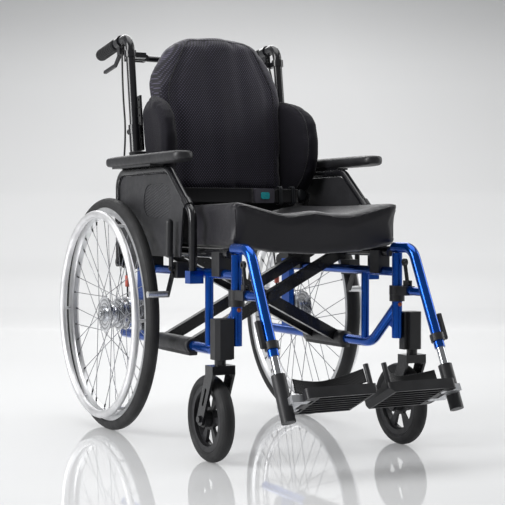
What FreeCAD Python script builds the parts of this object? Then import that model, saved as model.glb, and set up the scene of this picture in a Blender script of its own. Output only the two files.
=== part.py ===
import FreeCAD, Part
import math
import os
import re

from FreeCAD import Placement, Rotation, Vector

# The chair faces -Y, the user's left is +X and the floor is Z = 0. Lengths are in
# millimetres. Places are measured from the rear axle: "forward" and "behind" run along -Y
# and +Y from it, "height" runs up from the floor and "half" runs out from the middle plane.

SIZES = {
    # Running gaps
    "seat_gap": 0.3,
    "slide_gap": 0.3,
    "running_gap": 0.05,
    "overrun": 2,
    # Side frame
    "frame_half": 217.6,
    "tube_radius": 12.5,
    "side_tube_radius": 11,
    "strut_radius": 10,
    "post_forward": 596,
    "post_foot": 267,
    "post_head": 473,
    "upper_height": 427,
    "lower_height": 248,
    "lower_behind": 69,
    "kink_reach": 110,
    "rise_height": 345,
    "lower_bend": 70,
    "strut_forward": 455,
    "upright_forward": 60,
    "upright_depth": 42,
    "upright_width": 16,
    "upright_head": 446,
    "gusset_thickness": 5,
    "gusset_reach": 66,
    "gusset_arch": 14,
    "tipper_bore": 9.5,
    "tipper_depth": 60,
    "pin_radius": 6,
    "pin_depth": 32,
    # Fittings on the side frame
    "collar_foot": 356,
    "collar_height": 15.7,
    "collar_wall": 5.5,
    "saddle_length": 40,
    "saddle_half_width": 16,
    "saddle_front_forward": 520,
    "saddle_rear_forward": 135,
    "saddle_skirt": 6,
    "saddle_lip": 3,
    "bracket_half_width": 19,
    "bracket_half_depth": 26,
    "bracket_height": 54,
    "lug_half": 235,
    "lug_thickness": 4.6,
    "lug_front_forward": 60,
    "lug_round": 16,
    "lug_foot": 424,
    "arm_socket_half_width": 14,
    "arm_socket_foot": 402,
    "arm_socket_head": 432,
    "arm_socket_play": 1.5,
    "brake_body_forward": 362,
    "brake_body_depth": 40,
    "brake_body_foot": 412,
    "brake_body_height": 38,
    "brake_body_outer": 257,
    # Rear axle and drum brake plate
    "wheel_radius": 305,
    "axle_radius": 6,
    "axle_inner": 222,
    "axle_outer": 316,
    "axle_plate_thickness": 8,
    "axle_plate_forward": 86,
    "axle_plate_behind": 24,
    "axle_plate_half_height": 40,
    "brake_plate_inner": 238,
    "brake_plate_thickness": 7,
    "brake_plate_radius": 44,
    "brake_plate_boss": 14,
    "actuator_length": 34,
    "actuator_width": 12,
    # Rear wheel
    "wheel_half": 289.6,
    "tyre_section": 17,
    "rim_half_width": 12.5,
    "rim_wall": 2,
    "rim_outer_radius": 280,
    "rim_bead_radius": 268,
    "rim_bed_radius": 259,
    "rim_bed_half_width": 6,
    "hub_inner": 246,
    "drum_outer": 268,
    "drum_radius": 36,
    "barrel_radius": 22,
    "hub_flange_inner": 299,
    "hub_flange_thickness": 3.4,
    "hub_flange_radius": 47,
    "hub_cap_radius": 20,
    "hub_cap_outer": 313,
    "drum_flange_inner": 262,
    "drum_flange_radius": 44,
    "spoke_radius": 1,
    "spoke_count": 36,
    "spoke_lean_degrees": 60,
    "spoke_gap": 0.6,
    "spoke_rim_step": 1.2,
    "spoke_reach": 4,
    "hand_rim_gap": 21.8,
    "hand_rim_radius": 262,
    "hand_rim_section": 10,
    "hand_rim_tabs": 6,
    "tab_radius": 4,
    # Caster
    "caster_half": 260,
    "stem_forward": 598,
    "caster_forward": 550,
    "caster_radius": 100,
    "caster_section": 18,
    "caster_seat_radius": 76,
    "caster_core_half_width": 13,
    "caster_ring_radius": 63,
    "caster_web": 8,
    "caster_hub_radius": 19,
    "caster_hub_half_width": 21.5,
    "caster_spokes": 6,
    "caster_window_inner": 26,
    "caster_window_outer": 59,
    "caster_window_share": 0.64,
    "caster_bolt_radius": 5,
    "bolt_head_radius": 8,
    "bolt_head_height": 5,
    "blade_thickness": 6,
    "blade_inner": 22.5,
    "blade_width": 32,
    "blade_end_radius": 15,
    "blade_slot_width": 8,
    "blade_slot_length": 46,
    "blade_hole_radius": 4,
    "crown_foot": 206,
    "crown_head": 226,
    "crown_half_depth": 19,
    "stem_head": 292,
    "stem_washer_radius": 13,
    "housing_foot": 239,
    "housing_head": 330,
    "housing_half_width": 19,
    "housing_half_depth": 21,
    "housing_chamfer": 9,
    "neck_half_depth": 11,
    # Swing-away hanger
    "hanger_slant_degrees": 26,
    "hanger_corner_reach": 64,
    "hanger_rear_reach": 12,
    "hanger_foot": 258.6,
    "hanger_bend": 44,
    "hanger_bore_depth": 185,
    "spigot_radius": 10,
    "hook_height": 22,
    "hook_wall": 6,
    "hook_reach": 56,
    "hook_half_width": 13,
    "clamp_wall": 4,
    "clamp_length": 17,
    "clamp_rise": 16,
    "clamp_lever_length": 58,
    "clamp_lever_width": 11,
    "clamp_lever_depth": 9,
    "latch_width": 7,
    "latch_length": 52,
    "latch_thickness": 6,
    "latch_eye_radius": 9,
    "latch_eye_bore": 4.5,
    "latch_pivot_radius": 3.5,
    "latch_reach": 44,
    "latch_lift": 6,
    "latch_ear": 4,
    "latch_lean_degrees": 13,
    # Footrest and footplate
    "extension_radius": 9.5,
    "extension_inside": 140,
    "socket_radius": 16,
    "socket_start": 42,
    "socket_end": 148,
    "plate_top": 91.7,
    "plate_thickness": 23,
    "plate_inner_half": 14.5,
    "plate_half_depth": 58,
    "plate_skin": 4,
    "plate_rim": 5,
    "plate_rib": 2.6,
    "plate_ribs": 6,
    "plate_corner_radius": 10,
    "plate_outer_half": 191,
    "plate_notch_half": 36.5,
    "plate_notch_inner": 166,
    "plate_taper": 11,
    "hinge_half": 176,
    "knuckle_radius": 8,
    "knuckle_half_length": 17,
    "hinge_pin_radius": 3.5,
    "ear_length": 18,
    "bracket_inner": 188,
    "extension_bore": 7,
    "knuckle_neck": 3,
    "peg_radius": 6,
    "peg_height": 48,
    "peg_inset": 9,
    "peg_forward": 44,
    "strap_start_half": 30.6,
    "strap_start_forward": 42,
    "strap_middle_half": 105,
    "strap_middle_behind": 22,
    "strap_end_half": 186,
    "strap_thickness": 2.5,
    "strap_width": 32,
    "strap_lift": 8,
    # Cross brace
    "brace_bar_height": 28,
    "brace_bar_thickness": 18,
    "brace_wall": 6,
    "brace_gap": 0.4,
    "brace_forward": 272,
    "brace_outer_reach": 78,
    "brace_inner_reach": 54,
    "brace_end_share": 0.99,
    "brace_collar_length": 40,
    "brace_bolt_radius": 6,
    "brace_bolt_head": 10,
    "brace_bolt_head_height": 6,
    "seat_rail_height": 474,
    "seat_rail_front_forward": 566,
    "seat_rail_rear_forward": 96,
    # Backrest
    "cane_half": 223.5,
    "cane_lean_degrees": 7.9,
    "cane_top_forward": -17.4,
    "cane_top_height": 1042,
    "sleeve_radius": 15,
    "sleeve_length": 360,
    "cane_radius": 12,
    "cane_insert": 160,
    "cane_bend": 38,
    "grip_end": 205,
    "grip_start": 92,
    "grip_radius": 15.5,
    "grip_rib": 1.2,
    "grip_ribs": 9,
    "sleeve_collar_radius": 16,
    "sleeve_collar_height": 24,
    "sleeve_knob_radius": 9,
    "sleeve_knob_length": 16,
    "mount_rail_width": 20,
    "mount_rail_thickness": 5,
    "mount_rail_foot": 292,
    "mount_rail_length": 148,
    "mount_hole_radius": 3.2,
    "mount_holes": 7,
    "housing_start": 54,
    "housing_length": 24,
    "housing_wall": 4,
    "housing_drop": 30,
    "lever_drop": 30,
    "lever_pivot": 66,
    "lever_end": 184,
    "lever_sag": 54,
    "lever_thickness": 7,
    "lever_depth": 9,
    "lever_eye": 7,
    "lever_pin": 2.5,
    "lever_knee": 110,
    "cheek_thickness": 4,
    "bar_drop": 50,
    "bar_back": 34,
    "bar_radius": 8,
    "bar_hinge_half": 168,
    "bar_ring_length": 18,
    "bar_ring_wall": 4,
    "bar_arm_height": 14,
    "bar_eye_radius": 9,
    "bar_eye_half": 6,
    "bar_pin_radius": 3.5,
    "bar_cheek": 4,
    "bar_end_half": 203,
    "bar_clip_wall": 3.5,
    "bar_clip_length": 18,
    "bar_clip_half": 193,
    # Armrest
    "arm_half": 250,
    "arm_tube_radius": 10,
    "arm_pivot_behind": 24,
    "arm_pivot_height": 440,
    "arm_pivot_radius": 5,
    "arm_above_tyre": 66,
    "arm_front_top_forward": 300,
    "arm_knee_drop": 110,
    "arm_foot_forward": 434,
    "arm_eye_radius": 12,
    "arm_collar_share": 0.84,
    "arm_foot_height": 414,
    "arm_bend": 42,
    "joint_collar_radius": 13,
    "joint_collar_length": 22,
    "pad_half": 265.5,
    "pad_width": 49,
    "pad_front_forward": 433,
    "pad_rear_behind": 57,
    "pad_thickness": 25,
    "pad_corner": 20,
    "pad_edge": 7,
    "pad_plate_height": 5,
    "pad_plate_length": 250,
    "pad_plate_width": 40,
    "panel_thickness": 4,
    "panel_foot": 462,
    "panel_front_forward": 366,
    "panel_brow_height": 593,
    "panel_waist_height": 540,
    "panel_recess": 1.4,
    "panel_recess_half_length": 84,
    "panel_recess_half_height": 42,
    "panel_recess_forward": 229,
    "panel_recess_height": 600,
    # Parking brake
    "park_lever_half": 271,
    "park_pivot_forward": 343,
    "park_pivot_height": 436,
    "park_grip_radius": 9.5,
    "park_grip_foot": 464,
    "park_grip_head": 545,
    "park_grip_lean": 12,
    "park_plate_thickness": 5,
    "park_plate_half_width": 8,
    "park_pin_radius": 3.5,
    "shoe_pivot_forward": 338,
    "shoe_pivot_height": 420,
    "shoe_height": 371,
    "shoe_radius": 8,
    "shoe_gap": 4,
    "shoe_outer": 313,
    "shoe_arm_thickness": 5,
    "shoe_arm_half_width": 8,
    # Soft goods
    "sling_half": 226,
    "sling_thickness": 2,
    "seat_half": 224,
    "seat_front_forward": 599,
    "seat_rear_forward": 96,
    "seat_height": 592,
    "seat_trough": 20,
    "seat_lip": 24,
    "seat_trough_half": 95,
    "seat_crown": 8,
    "seat_draw": 9,
    "seat_corner": 16,
    "back_foot": 156,
    "back_head": 597,
    "back_step": 46,
    "back_rear": 18,
    "back_thickness": 66,
    "wing_half": 228,
    "wing_thickness": 42,
    "wing_round": 12,
    "back_crown": 16,
    "wing_reach": 176,
    "shoulder_half": 148,
    "waist_half": 186,
    "wing_end_rise": 304,
    "waist_rise": 340,
    "shoulder_drop": 64,
    "brow_drop": 23,
    "crown_half": 96,
    "strap_band_height": 46,
    "strap_band_thickness": 2,
    "back_band_first": 110,
    "back_band_pitch": 66,
    "back_bands": 3,
    "belt_width": 40,
    "belt_thickness": 2.6,
    "belt_foot": 596,
    "belt_side_forward": 150,
    "belt_middle_forward": 196,
    "belt_tail_half": 224.5,
    "belt_tail_depth": 22,
    "belt_tail_foot": 500,
    "buckle_place": 70,
    "buckle_length": 62,
    "buckle_height": 38,
    "buckle_thickness": 13,
    "buckle_corner": 5,
    "button_length": 26,
    "button_height": 18,
    "button_stand": 2.5,
    "button_depth": 6,
    # Brake cable
    "cable_radius": 2.5,
    "cable_half": 236,
    "cable_first_behind": 36,
    "cable_first_drop": 142,
    "cable_second_behind": 8,
    "cable_second_drop": 272,
    "cable_low_half": 228,
    "cable_loop_behind": 84,
    "cable_loop_height": 570,
    "cable_foot_behind": 22,
    "cable_turn_height": 420,
    "cable_foot_height": 342,
}

doc = FreeCAD.newDocument("wheelchair")
sheet = doc.addObject("Spreadsheet::Sheet", "Sizes")
for row, (alias, number) in enumerate(SIZES.items(), start=1):
    sheet.set(f"A{row}", alias)
    sheet.set(f"B{row}", str(number))
    sheet.setAlias(f"B{row}", alias)
doc.recompute()


class Named:
    """The driving sizes, read back from the sheet under their aliases."""


d = Named()
for alias in SIZES:
    setattr(d, alias, float(getattr(sheet, alias)))

X, Y, Z = Vector(1, 0, 0), Vector(0, 1, 0), Vector(0, 0, 1)

slant = math.radians(d.hanger_slant_degrees)
cane_lean = math.radians(d.cane_lean_degrees)

# The hanger tube runs down and forward from its corner to the open end that takes the footrest.
hanger_height = d.post_head + d.seat_gap + d.tube_radius
hanger_drop = hanger_height - d.hanger_foot
hanger_end_y = -d.post_forward - d.hanger_corner_reach - hanger_drop * math.tan(slant)

# The footplate is square to the hanger tube, so its front lower edge reaches furthest forward.
plate_foot = d.plate_top + d.plate_thickness
front_reach = (
    -hanger_end_y
    + d.plate_half_depth * math.cos(slant)
    + plate_foot * math.sin(slant)
)
axle_y = (front_reach - d.wheel_radius) / 2


def at(x, y, z):
    """A place given from the middle plane, the rear axle and the floor."""
    return Vector(x, axle_y + y, z)


def bind(item, **formulas):
    """Bind properties to formulas of the sheet's aliases, or set worked-out numbers."""
    for name, formula in formulas.items():
        if isinstance(formula, str):
            item.setExpression(name, re.sub(r"[a-z][a-z_]+", r"Sizes.\g<0>", formula))
        else:
            setattr(item, name, formula)
    return item


def rod(name, radius, length, base, direction=Z):
    item = doc.addObject("Part::Cylinder", name)
    bind(item, Radius=radius, Height=length)
    item.Placement = Placement(base, Rotation(Z, direction))
    return item


def block(name, length, width, height, corner, turn=Rotation()):
    item = doc.addObject("Part::Box", name)
    bind(item, Length=length, Width=width, Height=height)
    item.Placement = Placement(corner, turn)
    return item


def ring(name, major, minor, centre, direction=X):
    item = doc.addObject("Part::Torus", name)
    bind(item, Radius1=major, Radius2=minor)
    item.Placement = Placement(centre, Rotation(Z, direction))
    return item


def fused(name, *pieces):
    item = doc.addObject("Part::MultiFuse", name)
    item.Shapes = list(pieces)
    return item


def cut(name, base, *tools):
    item = doc.addObject("Part::Cut", name)
    item.Base = base
    item.Tool = tools[0] if len(tools) == 1 else fused(name + "_tools", *tools)
    return item


def group(name, *pieces):
    item = doc.addObject("Part::Compound", name)
    item.Links = list(pieces)
    return item


def mirrored(name, source):
    item = doc.addObject("Part::Mirroring", name)
    item.Source = source
    item.Normal = X
    item.Base = Vector()
    return item


def shaped(name, shape):
    item = doc.addObject("Part::Feature", name)
    item.Shape = shape
    return item


def outline_edges(outline):
    """Edges along a closed outline. A step is a point, or the middle and end of an arc."""
    edges, here = [], outline[0]
    for step in outline[1:] + outline[:1]:
        if step == here:
            continue
        if len(step) == 2:
            edges.append(Part.LineSegment(Vector(*here, 0), Vector(*step, 0)))
            here = step
        else:
            middle, end = Vector(*step[:2], 0), Vector(*step[2:], 0)
            edges.append(Part.Arc(Vector(*here, 0), middle, end))
            here = step[2:]
    return edges


def new_body(name, place=Placement()):
    body = doc.addObject("PartDesign::Body", name)
    body.Placement = place
    return body


def sketch(body, role, edges, lift=0):
    """A sketch on one of the body's own origin planes, raised off it by lift."""
    plane = next(f for f in body.Origin.OriginFeatures if f.Role == role)
    item = body.newObject("Sketcher::SketchObject", f"{body.Name}_sketch")
    item.AttachmentSupport = (plane, [""])
    item.MapMode = "FlatFace"
    item.AttachmentOffset = Placement(Vector(0, 0, lift), Rotation())
    item.addGeometry(edges, False)
    return item


def pad(body, base, length, symmetric=False):
    item = body.newObject("PartDesign::Pad", f"{body.Name}_pad")
    item.Profile = base
    bind(item, Length=length)
    if symmetric:
        item.SideType = "Symmetric"
    body.Tip = item
    return item


def pocket(body, base, length, reversed_=False):
    item = body.newObject("PartDesign::Pocket", f"{body.Name}_pocket")
    item.Profile = base
    bind(item, Length=length)
    item.Reversed = reversed_
    body.Tip = item
    return item


def turned(name, outline, place=Placement()):
    """A body turned about its own X axis: outline points are (along the axis, radius)."""
    body = new_body(name, place)
    profile = sketch(body, "XY_Plane", outline_edges(outline))
    item = body.newObject("PartDesign::Revolution", f"{name}_turn")
    item.Profile = profile
    item.ReferenceAxis = (profile, ["H_Axis"])
    item.Angle = 360
    body.Tip = item
    return body


def bent_wire(points, radii):
    """A wire of straight runs joined by tangent arcs at the inner points."""
    edges, here = [], points[0]
    for k, radius in enumerate(radii, start=1):
        corner = points[k]
        back = (points[k - 1] - corner).normalize()
        on = (points[k + 1] - corner).normalize()
        half = back.getAngle(on) / 2
        reach = radius / math.tan(half)
        start, end = corner + back * reach, corner + on * reach
        middle = corner + (back + on).normalize() * (radius / math.sin(half) - radius)
        edges.append(Part.LineSegment(here, start).toShape())
        edges.append(Part.Arc(start, middle, end).toShape())
        here = end
    edges.append(Part.LineSegment(here, points[-1]).toShape())
    return Part.Wire(edges)


def bent_tube(name, points, radii, radius):
    """A tube swept along a bent path, with its radius bound to the sheet."""
    path = shaped(name + "_path", bent_wire(points, radii))
    section = doc.addObject("Part::Circle", name + "_section")
    bind(section, Radius=radius)
    section.Placement = Placement(points[0], Rotation(Z, points[1] - points[0]))
    item = doc.addObject("Part::Sweep", name)
    item.Sections = [section]
    item.Spine = (path, [f"Edge{k + 1}" for k in range(len(path.Shape.Edges))])
    item.Solid = True
    item.Frenet = False
    return item


def flat_extrusion(name, outline, half, thickness):
    """A plate in the YZ plane: its outline is (behind the axle, height)."""
    body = new_body(name, Placement(at(half, 0, 0), Rotation()))
    pad(body, sketch(body, "YZ_Plane", outline_edges(outline)), thickness, symmetric=True)
    return body


left, shared = {}, {}


# Side frame of bent tube, welded
def side_frame():
    half = d.frame_half
    post = rod("post", "tube_radius", "post_head - post_foot", at(half, -d.post_forward, d.post_foot))
    # The seam of the post's surface faces forward, clear of the welded joints
    post.Placement = Placement(post.Placement.Base, Rotation(Z, -90))
    upper = rod(
        "upper_tube",
        "side_tube_radius",
        "post_forward - upright_forward",
        at(half, -d.post_forward, d.upper_height),
        Y,
    )
    lower = bent_tube(
        "lower_tube",
        [
            at(half, d.lower_behind, d.lower_height),
            at(half, -d.post_forward + d.kink_reach, d.lower_height),
            at(half, -d.post_forward, d.rise_height),
        ],
        [d.lower_bend],
        "tube_radius",
    )
    strut = rod(
        "strut",
        "strut_radius",
        "upper_height - lower_height",
        at(half, -d.strut_forward, d.lower_height),
    )
    upright = block(
        "upright",
        "upright_width",
        "upright_depth",
        "upright_head - lower_height",
        at(half - d.upright_width / 2, -d.upright_forward - d.upright_depth / 2, d.lower_height),
    )
    reach_y = -d.post_forward + d.gusset_reach
    gusset = flat_extrusion(
        "gusset",
        [
            (-d.post_forward, d.post_foot + d.gusset_thickness),
            (
                -d.post_forward + d.gusset_reach / 2,
                d.post_foot + 2 * d.gusset_arch,
                reach_y,
                d.post_foot + d.gusset_arch,
            ),
            (-d.post_forward, d.rise_height),
        ],
        half,
        "gusset_thickness",
    )
    welded = fused("welded_frame", post, upper, lower, strut, upright, gusset)
    tipper_bore = rod(
        "tipper_bore",
        "tipper_bore",
        "tipper_depth + overrun",
        at(half, d.lower_behind - d.tipper_depth, d.lower_height),
        Y,
    )
    pin_bore = rod(
        "pin_bore",
        "pin_radius + slide_gap",
        "pin_depth + overrun",
        at(half, -d.post_forward, d.post_head - d.pin_depth),
    )
    left["side_frame"] = cut("side_frame_left", welded, tipper_bore, pin_bore)


# Mouldings and forgings bolted to the side frame
def caster_housing():
    inner = d.frame_half + d.tube_radius + d.seat_gap
    wall = d.caster_half - d.housing_half_width
    outer = d.caster_half + d.housing_half_width
    y = -d.stem_forward
    depth, slope = d.housing_half_depth, d.housing_chamfer
    body = new_body("caster_housing", Placement(at(0, y, d.housing_foot), Rotation()))
    base = sketch(
        body,
        "XY_Plane",
        outline_edges(
            [
                (inner, -d.neck_half_depth),
                (wall, -d.neck_half_depth),
                (wall, -depth),
                (outer - slope, -depth),
                (outer, -depth + slope),
                (outer, depth - slope),
                (outer - slope, depth),
                (wall, depth),
                (wall, d.neck_half_depth),
                (inner, d.neck_half_depth),
            ]
        ),
    )
    pad(body, base, "housing_head - housing_foot")
    bore = rod(
        "stem_bore",
        "pin_radius + slide_gap",
        "stem_head - housing_foot + overrun",
        at(d.caster_half, y, d.housing_foot - d.overrun / 2),
    )
    return cut("bored_caster_housing", body, bore)


def saddle(name, forward):
    w, r, g = d.saddle_half_width, d.side_tube_radius, d.slide_gap
    foot = d.upper_height - d.saddle_skirt
    head = d.seat_rail_height + d.saddle_lip
    outline = [
        (-w, foot),
        (-w, head),
        (-r - g, head),
        (-r - g, d.seat_rail_height),
        (0, d.seat_rail_height - r - g, r + g, d.seat_rail_height),
        (r + g, head),
        (w, head),
        (w, foot),
        (r + g, foot),
        (r + g, d.upper_height),
        (0, d.upper_height + r + g, -r - g, d.upper_height),
        (-r - g, foot),
    ]
    body = new_body(name, Placement(at(d.frame_half, -forward, 0), Rotation()))
    pad(body, sketch(body, "XZ_Plane", outline_edges(outline)), "saddle_length", symmetric=True)
    return body


def cane_point(x, back, up):
    """A place in the leaning backrest: behind the canes and up along them."""
    foot_y = -d.cane_top_forward - (d.cane_top_height - d.upright_head) * math.tan(cane_lean)
    return at(
        x,
        foot_y + back * math.cos(cane_lean) + up * math.sin(cane_lean),
        d.upright_head - back * math.sin(cane_lean) + up * math.cos(cane_lean),
    )


CANE_TURN = Rotation(X, -d.cane_lean_degrees)
CANE_UP = CANE_TURN.multVec(Z)
CANE_BACK = CANE_TURN.multVec(Y)
cane_top = (d.cane_top_height - d.upright_head) / math.cos(cane_lean)


def fittings():
    half, post_y = d.frame_half, -d.post_forward
    collar_ring = rod(
        "collar_ring",
        "tube_radius + slide_gap + collar_wall",
        "collar_height",
        at(half, post_y, d.collar_foot),
    )
    collar_bore = rod(
        "collar_bore",
        "tube_radius + slide_gap",
        "collar_height + 2 * overrun",
        at(half, post_y, d.collar_foot - d.overrun),
    )
    collar = cut("hinge_collar", collar_ring, collar_bore)
    main = block(
        "back_bracket_block",
        "2 * bracket_half_width",
        "2 * bracket_half_depth",
        "bracket_height",
        at(
            d.cane_half - d.bracket_half_width,
            -d.upright_forward - d.bracket_half_depth,
            d.upright_head + d.seat_gap,
        ),
    )
    pivot_y, pivot_z = d.arm_pivot_behind, d.arm_pivot_height
    lug = flat_extrusion(
        "arm_lug",
        [
            (-d.lug_front_forward, d.lug_foot),
            (pivot_y, pivot_z - d.lug_round),
            (pivot_y + d.lug_round, pivot_z, pivot_y, pivot_z + d.lug_round),
            (-d.lug_front_forward, d.upright_head + d.bracket_height),
        ],
        d.lug_half + d.lug_thickness / 2,
        "lug_thickness",
    )
    pin = rod(
        "arm_pin",
        "arm_pivot_radius",
        "arm_half + arm_tube_radius - lug_half",
        at(d.lug_half, pivot_y, pivot_z),
        X,
    )
    bracket_body = fused("back_bracket_body", main, lug, pin)
    cane_bore = rod(
        "cane_bore",
        "sleeve_radius + slide_gap",
        "bracket_height * 2",
        cane_point(d.cane_half, 0, d.seat_gap),
        CANE_UP,
    )
    bracket = cut("back_bracket", bracket_body, cane_bore)
    tube_side = half + d.side_tube_radius + d.seat_gap
    socket_body = block(
        "arm_socket_block",
        "arm_half + arm_socket_half_width - frame_half - side_tube_radius - seat_gap",
        "2 * arm_socket_half_width",
        "arm_socket_head - arm_socket_foot",
        at(tube_side, -d.arm_foot_forward - d.arm_socket_half_width, d.arm_socket_foot),
    )
    socket_bore = rod(
        "arm_socket_bore",
        "arm_tube_radius + arm_socket_play",
        "arm_socket_head - arm_foot_height + overrun",
        at(d.arm_half, -d.arm_foot_forward, d.arm_foot_height - d.seat_gap),
    )
    socket = cut("arm_socket", socket_body, socket_bore)
    brake_body = block(
        "brake_body",
        "brake_body_outer - frame_half - side_tube_radius - seat_gap",
        "brake_body_depth",
        "brake_body_height",
        at(tube_side, -d.brake_body_forward, d.brake_body_foot),
    )
    park_pin = rod(
        "park_pin",
        "park_pin_radius",
        "shoe_arm_thickness + park_plate_thickness + 3 * overrun",
        at(d.brake_body_outer - d.overrun, -d.park_pivot_forward, d.park_pivot_height),
        X,
    )
    shoe_pin = rod(
        "shoe_pin",
        "park_pin_radius",
        "shoe_arm_thickness + overrun",
        at(d.brake_body_outer - d.overrun, -d.shoe_pivot_forward, d.shoe_pivot_height),
        X,
    )
    brake_body = fused("parking_brake_body", brake_body, park_pin, shoe_pin)
    left["frame_fittings"] = group(
        "frame_fittings_left",
        caster_housing(),
        collar,
        saddle("front_saddle", d.saddle_front_forward),
        saddle("rear_saddle", d.saddle_rear_forward),
        bracket,
        socket,
        brake_body,
    )


# Fixed axle with its plate and the drum brake's back plate
def axle_assembly():
    plate_inner = d.frame_half + d.upright_width / 2 + d.seat_gap
    axle = rod(
        "axle",
        "axle_radius",
        "axle_outer - axle_inner",
        at(d.axle_inner, 0, d.wheel_radius),
        X,
    )
    h = d.axle_plate_half_height
    plate = new_body("axle_plate_body", Placement(at(plate_inner, 0, d.wheel_radius), Rotation()))
    outline = [
        (-d.axle_plate_forward, -h),
        (-d.axle_plate_forward / 3, -h),
        (d.axle_plate_behind, -d.axle_plate_behind),
        (d.axle_plate_behind * 1.4, 0, d.axle_plate_behind, d.axle_plate_behind),
        (-d.axle_plate_forward / 3, h),
        (-d.axle_plate_forward, h),
    ]
    pad(plate, sketch(plate, "YZ_Plane", outline_edges(outline)), "axle_plate_thickness")
    plate_bore = rod(
        "axle_plate_bore",
        "axle_radius + running_gap",
        "axle_plate_thickness + 2 * overrun",
        at(plate_inner - d.overrun, 0, d.wheel_radius),
        X,
    )
    inner, outer = d.brake_plate_inner, d.brake_plate_inner + d.brake_plate_thickness
    backing = turned(
        "brake_backing",
        [
            (inner - d.overrun, d.axle_radius + d.running_gap),
            (inner - d.overrun, d.brake_plate_boss),
            (inner, d.brake_plate_boss),
            (inner, d.brake_plate_radius - d.overrun),
            (inner + d.overrun, d.brake_plate_radius),
            (outer, d.brake_plate_radius),
            (outer, d.axle_radius + d.running_gap),
        ],
        Placement(at(0, 0, d.wheel_radius), Rotation()),
    )
    actuator = block(
        "brake_actuator",
        "brake_plate_inner - frame_half - upright_width / 2 - axle_plate_thickness - 3 * seat_gap",
        "actuator_width",
        "actuator_length",
        at(
            plate_inner + d.axle_plate_thickness + d.seat_gap,
            d.brake_plate_boss + d.overrun,
            d.wheel_radius + d.overrun,
        ),
    )
    left["axle_and_brake_plate"] = group(
        "axle_and_brake_plate_left",
        axle,
        cut("axle_plate", plate, plate_bore),
        backing,
        actuator,
    )


# Rear wheel: tyre, rim, hub with spokes, hand rim
def rear_wheel():
    c = d.wheel_half
    centre = Placement(at(0, 0, d.wheel_radius), Rotation())
    w, wall = d.rim_half_width, d.rim_wall
    rim = turned(
        "rear_rim",
        [
            (c - w, d.rim_outer_radius),
            (c - w, d.rim_bead_radius - wall),
            (c - d.rim_bed_half_width, d.rim_bed_radius),
            (c + d.rim_bed_half_width, d.rim_bed_radius),
            (c + w, d.rim_bead_radius - wall),
            (c + w, d.rim_outer_radius),
            (c + w - wall, d.rim_outer_radius),
            (c + w - wall, d.rim_bead_radius),
            (c + d.rim_bed_half_width, d.rim_bed_radius + wall),
            (c - d.rim_bed_half_width, d.rim_bed_radius + wall),
            (c - w + wall, d.rim_bead_radius),
            (c - w + wall, d.rim_outer_radius),
        ],
        centre,
    )
    crown = d.wheel_radius - d.tyre_section
    lip = d.rim_outer_radius + d.seat_gap
    bead = w - wall - d.seat_gap
    spread = math.sqrt(d.tyre_section**2 - (crown - lip) ** 2)
    left["rear_tyre"] = turned(
        "rear_tyre_left",
        [
            (c - bead, d.rim_bead_radius + d.seat_gap),
            (c - bead, lip),
            (c - spread, lip),
            (c, d.wheel_radius, c + spread, lip),
            (c + bead, lip),
            (c + bead, d.rim_bead_radius + d.seat_gap),
        ],
        centre,
    )
    bore = d.axle_radius + d.running_gap
    flange_outer = d.hub_flange_inner + d.hub_flange_thickness
    drum_flange_outer = d.drum_flange_inner + d.hub_flange_thickness
    hub = turned(
        "rear_hub",
        [
            (d.hub_inner, bore),
            (d.hub_inner, d.drum_radius),
            (d.drum_flange_inner, d.drum_radius),
            (d.drum_flange_inner, d.drum_flange_radius),
            (drum_flange_outer, d.drum_flange_radius),
            (drum_flange_outer, d.drum_radius),
            (d.drum_outer, d.drum_radius),
            (d.drum_outer + d.hub_flange_thickness, d.barrel_radius),
            (d.hub_flange_inner, d.barrel_radius),
            (d.hub_flange_inner, d.hub_flange_radius),
            (flange_outer, d.hub_flange_radius),
            (flange_outer, d.hub_cap_radius),
            (d.hub_cap_outer, d.hub_cap_radius),
            (d.hub_cap_outer, bore),
        ],
        centre,
    )
    spokes = []
    count = int(d.spoke_count)
    for k in range(count):
        spokes.append(spoke(k, count))
    left["rear_rim_and_spokes"] = group("rear_rim_and_spokes_left", rim, hub, *spokes)
    rim_x = d.wheel_half + d.rim_half_width + d.hand_rim_gap
    torus = ring("hand_rim_ring", "hand_rim_radius", "hand_rim_section", at(rim_x, 0, d.wheel_radius))
    tabs = []
    start = c + w + d.seat_gap
    tab_r = (d.rim_outer_radius + d.rim_bead_radius) / 2 - wall
    for k in range(int(d.hand_rim_tabs)):
        turn = Rotation(X, 360 * (k + 0.5) / d.hand_rim_tabs)
        place = at(start, 0, d.wheel_radius) + turn.multVec(Z) * (tab_r - d.tab_radius)
        tabs.append(rod("hand_rim_tab", "tab_radius", "hand_rim_gap - seat_gap", place, X))
    left["hand_rim"] = fused("hand_rim_left", torus, *tabs)


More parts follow.
